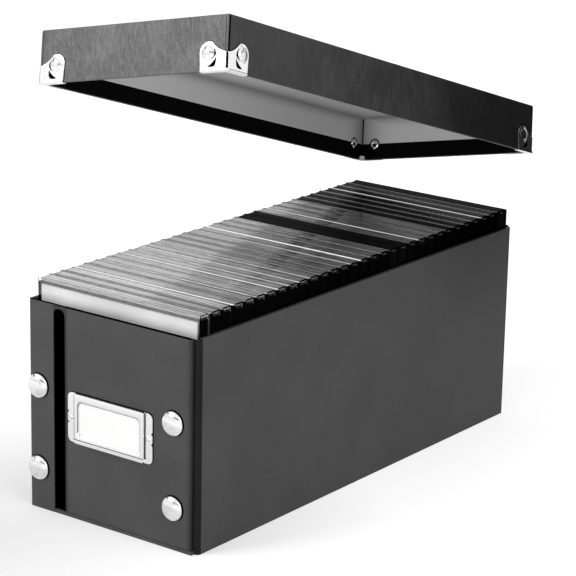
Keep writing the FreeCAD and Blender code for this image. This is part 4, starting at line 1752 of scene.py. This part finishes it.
@dataclass
class CornerFittings(Assembly):
    """Pressed butterfly fittings on the lid's corners, with their rivets."""

    lid: Lid
    metal: float = 0.6 * MM
    seam: float = 0.6 * MM
    waist: float = 10.4 * MM
    lobe: float = 6.3 * MM
    along: float = 13.0 * MM
    up: float = 10.6 * MM
    join: float = 112.0
    foot_inset: float = 0.7 * MM
    under: float = 2.6 * MM
    head: float = 4.2 * MM
    head_rise: float = 1.85 * MM
    tail: float = 4.3 * MM
    outline_shade: float = 0.42 * MM
    seat: float = 0.28 * MM
    leg_round: float = 0.2 * MM
    lip_round: float = 0.45 * MM
    band_round: float = 0.3 * MM
    tab: tuple[float, float] = (3.6 * MM, 3.0 * MM)
    seam_foot: float = 9.5 * MM

    def outline(self, grow: float = 0.0) -> list[Vector]:
        """One leg's outline: X is the distance from the corner, Y the height.

        Args:
            grow: How far the outline lies outside the leg's own.

        Returns:
            The outline's points.
        """
        lobe = (self.along, self.up)
        waist = Vector((self.seam, self.waist + grow, 0))
        round_lobe = arc(lobe, self.lobe + grow, self.join, 0, 14)
        start = round_lobe[0]
        sag = (start - waist).length / 14
        curve = []
        for share in (step / 7 for step in range(1, 7)):
            dip = 4 * share * (1 - share) * sag
            curve.append(waist.lerp(start, share) + Vector((dip / 2, -dip, 0)))
        foot = Vector((self.along + self.lobe - self.foot_inset + grow, 0, 0))
        return [Vector((self.seam, 0, 0)), waist, *curve, *round_lobe, foot]

    def crescent(self) -> Object:
        """Models the tool that presses the crescent under a rivet.

        Returns:
            The tool.
        """
        top, low = Vector((7.6 * MM, 7.9 * MM, 0)), Vector((13.6 * MM, 2.6 * MM, 0))
        across = Vector((top.y - low.y, low.x - top.x, 0)).normalized()

        def bow(bulge: float) -> list[Vector]:
            """Draws one side of the crescent, its ends included.

            Args:
                bulge: How far the side bows at its middle.

            Returns:
                The points from the top end to the low one.
            """
            shares = [step / 8 for step in range(9)]
            dips = [across * bulge * 4 * share * (1 - share) for share in shares]
            return [top.lerp(low, share) - dip for share, dip in zip(shares, dips)]

        tool = plate("crescent", bow(3.3 * MM) + bow(0.7 * MM)[-2:0:-1], 3 * self.metal)
        return lay(tool, Matrix.Translation((0, 0, -self.metal)))

    def shade_marks(self, rolled: bool) -> Object:
        """Painted shade on one leg: in its crescent, beside its rivet, round it and at the corner.

        Args:
            rolled: Whether the painted shade line above the roll is added too.

        Returns:
            The dark pieces.
        """
        centre = Vector((self.along, self.up, 0))
        inner = arc((self.along, self.up), self.head + 0.15 * MM, 245, 140, 12)
        outer = [
            centre + (point - centre) * (1 + 0.21 * math.sin(math.pi * number / 12))
            for number, point in enumerate(inner)
        ]
        beside = plate("beside", inner + outer[-2:0:-1], FILM)
        low, high = 2 * HAIR, 0.1 * MM
        parts = [
            block("under", (6.5 * MM, 1.6 * MM, low), (14.6 * MM, 9.0 * MM, high)),
            lay(beside, Matrix.Translation((0, 0, self.metal + self.seat + HAIR))),
            plate("shade", self.outline(self.outline_shade), 0.05 * MM),
            block("corner", (0.0, 0.0, low), (self.seam + 0.1 * MM, self.waist - 0.3 * MM, high)),
        ]
        if rolled:
            end = (self.along + self.lobe - 1.2 * MM, 0.85 * MM, self.metal + FILM)
            parts.append(block("line", (1.6 * MM, 0.55 * MM, self.metal), end))
        return joined("shade_marks", parts)

    def leg(self) -> Object:
        """Models one leg, with a raised seat round its rivet.

        Returns:
            The leg.
        """
        piece = plate("leg", self.outline(), self.metal)
        round_edges(piece, self.leg_round, 2, above(self.metal - HAIR))
        cut_away(piece, self.crescent())
        steps = ((0.35 * MM, self.seat), (0.7 * MM, 0.2 * MM), (1.15 * MM, -0.05 * MM))
        profile = [(self.head + out, self.metal + rise) for out, rise in steps]
        seat = turned("seat", [(0.0, profile[0][1]), *profile, (0.0, profile[-1][1])], 36)
        return joined("leg", [piece, lay(seat, Matrix.Translation((self.along, self.up, 0)))])

    def seams(self) -> Object:
        """Models painted shade on the folded edges by the near right corner, about that corner.

        Returns:
            The black strips.
        """
        low, high = self.seam_foot, self.lid.top - self.lid.foot - 0.9 * MM
        side = block("side", (-0.05 * MM, 0.5 * MM, low), (FILM, 1.75 * MM, high))
        front = block("front", (-2.0 * MM, -FILM, low), (-1.7 * MM, 0.05 * MM, high))
        return joined("seams", [side, front])

    def lip(self) -> Object:
        """Models the roll under the rim, the band at the corner's foot and the tab inside it.

        Returns:
            The three, as one piece.
        """
        reach = self.along + self.lobe - self.foot_inset
        out, under = self.metal, self.under
        corners = [(out, -out), (out, reach), (-under, reach), (-under, under)]
        corners += [(-reach, under), (-reach, -out)]
        roll = plate("lip", [Vector((x, y, -out)) for x, y in corners], out)

        def outer_foot(a: Vector, b: Vector) -> bool:
            """The roll's lower outer edges and its outer corner."""
            outside = all(p.x > out - HAIR for p in (a, b)) or all(p.y < HAIR - out for p in (a, b))
            return outside and max(a.z, b.z) < HAIR - out

        round_edges(roll, self.lip_round, 4, outer_foot)
        band = block("band", (-MM, -out, -2 * HAIR), (out, MM, MM))
        round_edges(band, self.band_round, 3, lambda a, b: max(a.x, b.x) > 0 > min(a.y, b.y))
        inside, (far, high) = 2 * HAIR - under, self.tab
        tabs = [
            block("tab", (-under - far, under - 2 * HAIR, -out), (inside, under + out, high)),
            block("tab_side", (-under - out, under, -out), (inside, under + far, high)),
        ]
        for tab in tabs:
            round_edges(tab, self.leg_round, 2, above(high - 0.1 * MM))
        return joined("lip", [roll, band, *tabs])

    def legs(self) -> list[Matrix]:
        """Works out how the two legs of the near right corner stand.

        Returns:
            The moves from a leg's own plane to that corner.
        """
        corner = Matrix.Translation((self.lid.half_width, -self.lid.half_length, self.lid.foot))
        upright = Matrix.Rotation(math.pi / 2, 4, "X")
        front = corner @ upright @ Matrix.Diagonal((-1, 1, 1, 1))
        side = corner @ Matrix.Rotation(math.pi / 2, 4, "Z") @ upright
        return [front, side]

    def corners(self) -> list[Matrix]:
        """Works out how the four corners stand.

        Returns:
            The moves from the near right corner to all four.
        """
        mirror = Matrix.Diagonal((-1, 1, 1, 1))
        half_turn = Matrix.Rotation(math.pi, 4, "Z")
        return [Matrix.Identity(4), mirror, half_turn, half_turn @ mirror]

    def rivet_places(self) -> list[Matrix]:
        """Works out where the eight rivets stand on the held lid.

        Returns:
            The moves there from a rivet's own axis.
        """
        on_leg = Matrix.Translation((self.along, self.up, 0))
        corners = [self.lid.lift @ corner for corner in self.corners()]
        return [corner @ leg @ on_leg for corner in corners for leg in self.legs()]

    def head_piece(self) -> Object:
        """Models a domed rivet head about Z, standing on the fitting.

        Returns:
            The head.
        """
        raised_by = 0.25 * MM
        foot, crown = self.metal + raised_by, self.head_rise - raised_by
        dome = [
            (self.head * share, foot + crown * (1 - share**2.2) ** 0.75)
            for share in (0.0, 0.2, 0.4, 0.57, 0.71, 0.82, 0.9, 0.96)
        ]
        low = foot - 0.1 * MM
        rim = [(self.head, foot + 0.2 * MM), (self.head - 0.45 * MM, low), (0.0, low)]
        return turned("rivet_head", [*dome, *rim], 32)

    def tail_piece(self) -> Object:
        """Models the rolled tail of a tubular rivet, inside the rim, in a dent of painted shade.

        Returns:
            The tail in its dent.
        """
        inside = -self.lid.board - self.lid.turn_in
        hole, roll, dent = 1.5 * MM, self.tail - 0.9 * MM, self.tail
        metal = [(hole, 0.05), (hole, -0.2), (1.9 * MM, -0.6), (2.5 * MM, -0.7), (3.0 * MM, -0.5)]
        metal += [(roll, -0.15), (roll, 0.05), (hole, 0.05)]
        dark = [(0.0, -0.06), (dent - 0.2 * MM, -0.12), (dent, -0.02), (dent, 0.02), (0.0, 0.02)]
        parts = []
        for steps, finish in ((metal, self.finishes.nickel), (dark, self.finishes.shade_black)):
            profile = [(radius, inside + step * MM) for radius, step in steps]
            parts.append(dress(turned("rivet_tail", profile, 28), finish))
        return joined("rivet_tail", parts)

    def build(self) -> None:
        """Models the fittings and their rivets."""
        corner = Matrix.Translation((self.lid.half_width, -self.lid.half_length, self.lid.foot))
        legs = set_out("legs", self.leg(), self.legs())
        metal = joined("fitting", [legs, lay(self.lip(), corner)])
        # Painted shade: the black pieces of each leg and along the corner's folded edges.
        sides = [lay(self.shade_marks(bool(number)), place) for number, place in enumerate(self.legs())]
        black = joined("shade_marks", [*sides, lay(self.seams(), corner)])
        parts = [dress(metal, self.finishes.bright), dress(black, self.finishes.shade_black)]
        places = [self.lid.lift @ place for place in self.corners()]
        piece = set_out("lid_corner_fittings", joined("fitting", parts), places)
        even_shading(piece, PRESSED)
        settle(piece, None, Body.LID, Slot.CHROME, "lid_corners")
        for name, pattern, finish, node in (
            ("lid_rivet_heads", self.head_piece(), self.finishes.nickel, "lid_corner_rivets"),
            ("lid_rivet_tails", self.tail_piece(), None, "lid_rivet_washers"),
        ):
            rivets = set_out(name, pattern, self.rivet_places())
            smooth(rivets, ROUND)
            settle(rivets, finish, Body.LID, Slot.CHROME, node)


# The cases in the box


@dataclass
class JewelCases(Assembly):
    """A row of clear cases that stand on edge; the front one lifts out."""

    half_width: float = 62.3 * MM
    foot: float = 2.3 * MM
    top: float = 144.3 * MM
    depth: float = 10.3 * MM
    skin: float = 1.2 * MM
    back_depth: float = 8.8 * MM
    lip_depth: float = 7.6 * MM
    lip_setback: float = 2.4 * MM
    paper_gap: float = 0.06 * MM
    side: float = 60.9 * MM
    soft_edge: float = 0.22 * MM
    lip_round: float = 1.2 * MM
    first: float = -162.65 * MM
    pitch: float = 10.5 * MM
    count: int = 31
    stagger: float = 0.25 * MM
    side_inset: float = 0.4 * MM
    blackened: tuple[tuple[int, int], ...] = ((18, 20), (30, 31))
    first_shaded_top: int = 24

    def cover(self) -> Object:
        """Models the clear cover, with a lip down each side, its front face at y = 0.

        Returns:
            The cover.
        """
        x = self.half_width
        piece = block("cover", (-x, 0, self.foot), (x, self.skin, self.top))
        for side in (-1, 1):
            score(piece, (side * (x - self.skin), 0, 0), (1, 0, 0))
        for z in (self.foot + self.lip_setback, self.top - self.lip_setback):
            score(piece, (0, 0, z), (0, 0, 1))
        pull_faces(
            piece,
            (0, self.lip_depth - self.skin, 0),
            lambda at, out: out.y > FACING
            and abs(at.x) > x - self.skin
            and self.foot + self.lip_setback < at.z < self.top - self.lip_setback,
        )
        depth = self.lip_depth - HAIR
        round_edges(
            piece, self.lip_round, 3, lambda a, b: min(a.y, b.y) > depth and abs(a.z - b.z) < HAIR
        )
        self.soften(piece)
        return piece

    def back(self) -> Object:
        """Models the clear back, with walls above and below, its rear face at the case's depth.

        Returns:
            The back.
        """
        x = self.half_width
        near = self.depth - self.skin
        piece = block("back", (-x, near, self.foot), (x, self.depth, self.top))
        for side in (-1, 1):
            score(piece, (side * self.side, 0, 0), (1, 0, 0))
        score(piece, (0, near + HAIR, 0), (0, 1, 0))
        wall = self.skin - self.paper_gap
        for z in (self.foot + wall, self.top - wall):
            score(piece, (0, 0, z), (0, 0, 1))
        pull_faces(
            piece,
            (0, self.skin - self.back_depth, 0),
            lambda at, out: out.y < -FACING
            and abs(at.x) < self.side
            and not self.foot + wall < at.z < self.top - wall,
        )
        self.soften(piece)
        return piece

    def soften(self, piece: Object) -> None:
        """Rounds every sharp edge of a moulding a little."""
        sharp = {"limit_method": "ANGLE", "angle_limit": math.radians(ROUND)}
        finish_with(piece, "BEVEL", width=self.soft_edge, segments=2, **sharp)

    def place(self, number: int) -> Matrix:
        """The move from the pattern case to where a case stands, by its number from the front."""
        shift = self.stagger * math.sin(number * number)
        return Matrix.Translation((shift, self.first + number * self.pitch, 0))

    def within(self, y: float) -> bool:
        """Whether a place in a case's depth lies between its two skins."""
        step = self.skin + 2 * HAIR
        return step < y < self.depth - step

    def build(self) -> None:
        """Models the front case and the row behind it."""
        row = [self.place(number) for number in range(1, self.count)]
        starts = [self.first + number * self.pitch for number in range(self.count + 1)]
        bands = [(starts[first] - 0.1 * MM, starts[last] - 0.1 * MM) for first, last in self.blackened]
        finishes, edge = self.finishes, self.top - 0.5 * self.skin
        inner, outer = self.side - self.side_inset, self.half_width - 0.1 * MM

        def on_edge(at: Vector, out: Vector) -> bool:
            """The polished upper edges of a moulding with its front at y = 0."""
            return at.z > edge and out.z > 0.2 and not self.within(at.y)

        def shaded_far_tops(at: Vector, out: Vector) -> bool:
            """The tops between the skins of the far cases."""
            far = at.y > starts[self.first_shaded_top] and out.z > 0.5
            return far and self.within((at.y - self.first) % self.pitch)

        def end_wall(at: Vector, out: Vector) -> bool:
            """The outer faces of a moulding's side walls."""
            return abs(at.x) > outer and abs(out.x) > 0.5

        def blackened(at: Vector, out: Vector) -> bool:
            """All of the blackened cases."""
            return any(low < at.y < high for low, high in bands)

        for part, pattern in (("cover", self.cover()), ("back", self.back())):
            dress(pattern, finishes.clear)
            # Painted highlights on the upper edges.
            dress_faces(pattern, finishes.edge, on_edge)
            front = copy_at(pattern, Matrix.Identity(4), f"front_jewel_{part}")
            # Painted shade: the row's side walls, and the front case's outer side faces, go
            # near-black.
            dress_faces(pattern, finishes.shaded, lambda at, out: abs(at.x) > inner and out.z < 0.5)
            dress_faces(front, finishes.shaded, end_wall)
            lay(front, self.place(0))
            behind = set_out(f"row_jewel_{part}s", pattern, row)
            dress_faces(behind, finishes.shaded_far_tops, shaded_far_tops)
            dress_faces(behind, finishes.blackened, blackened)
            for piece in (front, behind):
                even_shading(piece)
            settle(front, None, Body.FRONT_CASE, Slot.CASE, f"front_case_{part}")
            settle(behind, None, Body.BOX, Slot.CASE, f"row_case_{part}s")


def dress_nodes(finishes: Finishes) -> None:
    """Gives the frame's own nodes that still show their finishes.

    Args:
        finishes: The box's finishes.
    """
    metal = ("strip_snap_sockets", "panel_snap_sockets", "snap_studs", "snap_eyelets")
    shown = {f"{end.value}_{name}": finishes.nickel for end in End for name in metal}
    shown |= {"base_board": finishes.board, "label_card": finishes.card}
    shown |= {"front_case_inlay": finishes.spines, "row_case_inlays": finishes.spines}
    insides = {"disc_tray": finishes.black, "disc": finishes.disc, "booklet": finishes.booklet}
    for name, finish in insides.items():
        shown |= {f"front_{name}": finish, f"row_{name}s": finish}
    for name, finish in shown.items():
        dress(frame["nodes"][name], finish)
        LOG.info("%s: dressed", name)


# The studio


@dataclass(frozen=True)
class Lamp:
    """A soft square lamp, with its power in watts and the width of its face."""

    name: str
    place: Place
    power: float
    size: float

    def hang(self, aim: Vector) -> None:
        """Adds the lamp, turned to what it lights.

        Args:
            aim: Where it faces.
        """
        turn = (aim - Vector(self.place)).to_track_quat("-Z", "Y").to_euler()
        bpy.ops.object.select_all(action="DESELECT")
        bpy.ops.object.light_add(type="AREA", location=self.place, rotation=turn)
        lamp = bpy.context.object
        lamp.name = self.name
        lamp.data.shape, lamp.data.size, lamp.data.energy = "SQUARE", self.size, self.power


@dataclass(frozen=True)
class Card:
    """A sheet beside the view that only the box sees."""

    name: str
    shades: tuple[float, float]
    lines: tuple[Line, Line]
    lights: bool

    def stand(self) -> None:
        """Adds the sheet between its two lines, unseen by the camera."""
        sheet = strip_between(self.name, *self.lines)
        dress(sheet, Paper(self.name, *(grey(shade) for shade in self.shades)).make())
        sheet.visible_camera = sheet.visible_transmission = False
        sheet.visible_diffuse = sheet.visible_shadow = self.lights


@dataclass
class Studio:
    """Floor, lamps, cards, surround and camera."""

    floor_half: float = 9.0
    backdrop: float = 1.0
    ambient: float = 0.44
    dark_band: tuple[float, float] = (0.36, 0.47)
    band_edge: float = 0.03
    band_level: float = 0.06
    lamps: tuple[Lamp, ...] = (
        Lamp("key_lamp", (-1.3, -1.9, 1.7), 33.0, 1.3),
        Lamp("fill_lamp", (2.1, -0.6, 1.5), 17.0, 1.6),
        Lamp("low_lamp", (0.60, -1.60, 0.06), 8.0, 0.5),
    )
    grey_card: tuple[Line, Line] = (
        ((-0.178, 0.02, 0.25), (-0.305, 0.45, 0.25)),
        ((-0.118, 0.02, 0.25), (-0.235, 0.45, 0.25)),
    )
    black_card: tuple[Line, Line] = (
        ((0.135, 0.06, 0.125), (0.086, 0.40, 0.125)),
        ((0.135, 0.06, 0.340), (0.086, 0.40, 0.340)),
    )
    aim: Place = (0.0, 0.0, 0.12)
    camera_place: Place = (0.88864, -1.18132, 0.54834)
    camera_azimuth: float = 36.877
    camera_elevation: float = 16.397
    camera_roll: float = 1.187
    lens: float = 151.045
    sensor: float = 36.0
    near: float = 0.01
    far: float = 50.0

    def floor(self) -> None:
        """The floor sheet."""
        bpy.ops.object.select_all(action="DESELECT")
        bpy.ops.mesh.primitive_plane_add(size=2 * self.floor_half, location=(0, 0, -2 * HAIR))
        sheet = dress(added("floor"), StudioFloor().make())

    def surround(self) -> None:
        """A white surround; metal and clear plastic mirror a dark band in it above the horizon."""
        world = bpy.data.worlds.new("surround")
        bpy.context.scene.world = world
        world.use_nodes = True
        nodes = NodeBench(world.node_tree)
        view = nodes.add("SeparateXYZ", Vector=nodes.add("TexCoord").outputs["Generated"])
        ramp = nodes.add("ValToRGB", Fac=view.outputs["Z"])
        low, high = self.dark_band
        stops = ramp.color_ramp.elements
        stops[0].position, stops[1].position = low - self.band_edge, low
        for position in (high, high + self.band_edge):
            stops.new(position)
        plain, dark = grey(self.backdrop), grey(self.band_level)
        for stop, colour in zip(stops, (plain, dark, dark, plain)):
            stop.color = (*colour, 1.0)
        seen = nodes.rays("Camera", "Glossy", "Transmission")
        level = nodes.add("MapRange", Value=seen, To_Min=self.ambient, To_Max=ramp.outputs["Color"])
        shader = nodes.add("Background", Color=WHITE, Strength=level.outputs["Result"])
        nodes.add("OutputWorld", Surface=shader.outputs["Background"])

    def camera(self) -> None:
        """The camera, placed and turned for the main view."""
        data = bpy.data.cameras.new("camera")
        data.lens, data.sensor_width = self.lens, self.sensor
        data.clip_start, data.clip_end = self.near, self.far
        camera = bpy.data.objects.new("camera", data)
        bpy.context.scene.collection.objects.link(camera)
        turn = Matrix.Identity(4)
        for angle, axis in (
            (self.camera_azimuth, "Z"), (90 - self.camera_elevation, "X"), (self.camera_roll, "Z")
        ):
            turn @= Matrix.Rotation(math.radians(angle), 4, axis)
        camera.matrix_world = Matrix.Translation(self.camera_place) @ turn
        bpy.context.scene.camera = camera

    def build(self) -> None:
        """Sets the whole studio up."""
        self.camera()
        self.floor()
        self.surround()
        for lamp in self.lamps:
            lamp.hang(Vector(self.aim))
        Card("grey_card", (0.42, 0.46), self.grey_card, lights=False).stand()
        Card("black_card", (0.01, 0.02), self.black_card, lights=True).stand()
        bpy.context.scene.view_settings.view_transform = "Standard"
        LOG.info("studio ready")


def lid_lift() -> Matrix:
    """Works out where the lid is held, from its joint.

    Returns:
        The move from the closed lid to there.
    """
    joint = next(j for j in frame["joints"] if j["name"] == "lid_swing")
    pivot = Vector(joint["pos_m"])
    angle = -math.radians(min(joint["range_deg"]))
    swing = Matrix.Rotation(angle, 4, Vector(joint["axis"]))
    return Matrix.Translation(pivot) @ swing @ Matrix.Translation(-pivot)


def main() -> None:
    """Builds the studio, the box, the lid and the cases in order."""
    logging.basicConfig(level=logging.INFO, format="%(name)s: %(message)s")
    lift = lid_lift()
    finishes = Finishes(lift.inverted(), JewelCases.first, JewelCases.pitch)
    Studio().build()
    for assembly in (Walls, Panel, Crease, Snaps, LabelHolder):
        assembly(finishes).build()
    lid = Lid(finishes, lift)
    lid.build()
    CornerFittings(finishes, lid).build()
    JewelCases(finishes).build()
    dress_nodes(finishes)


if __name__ == "__main__":
    main()
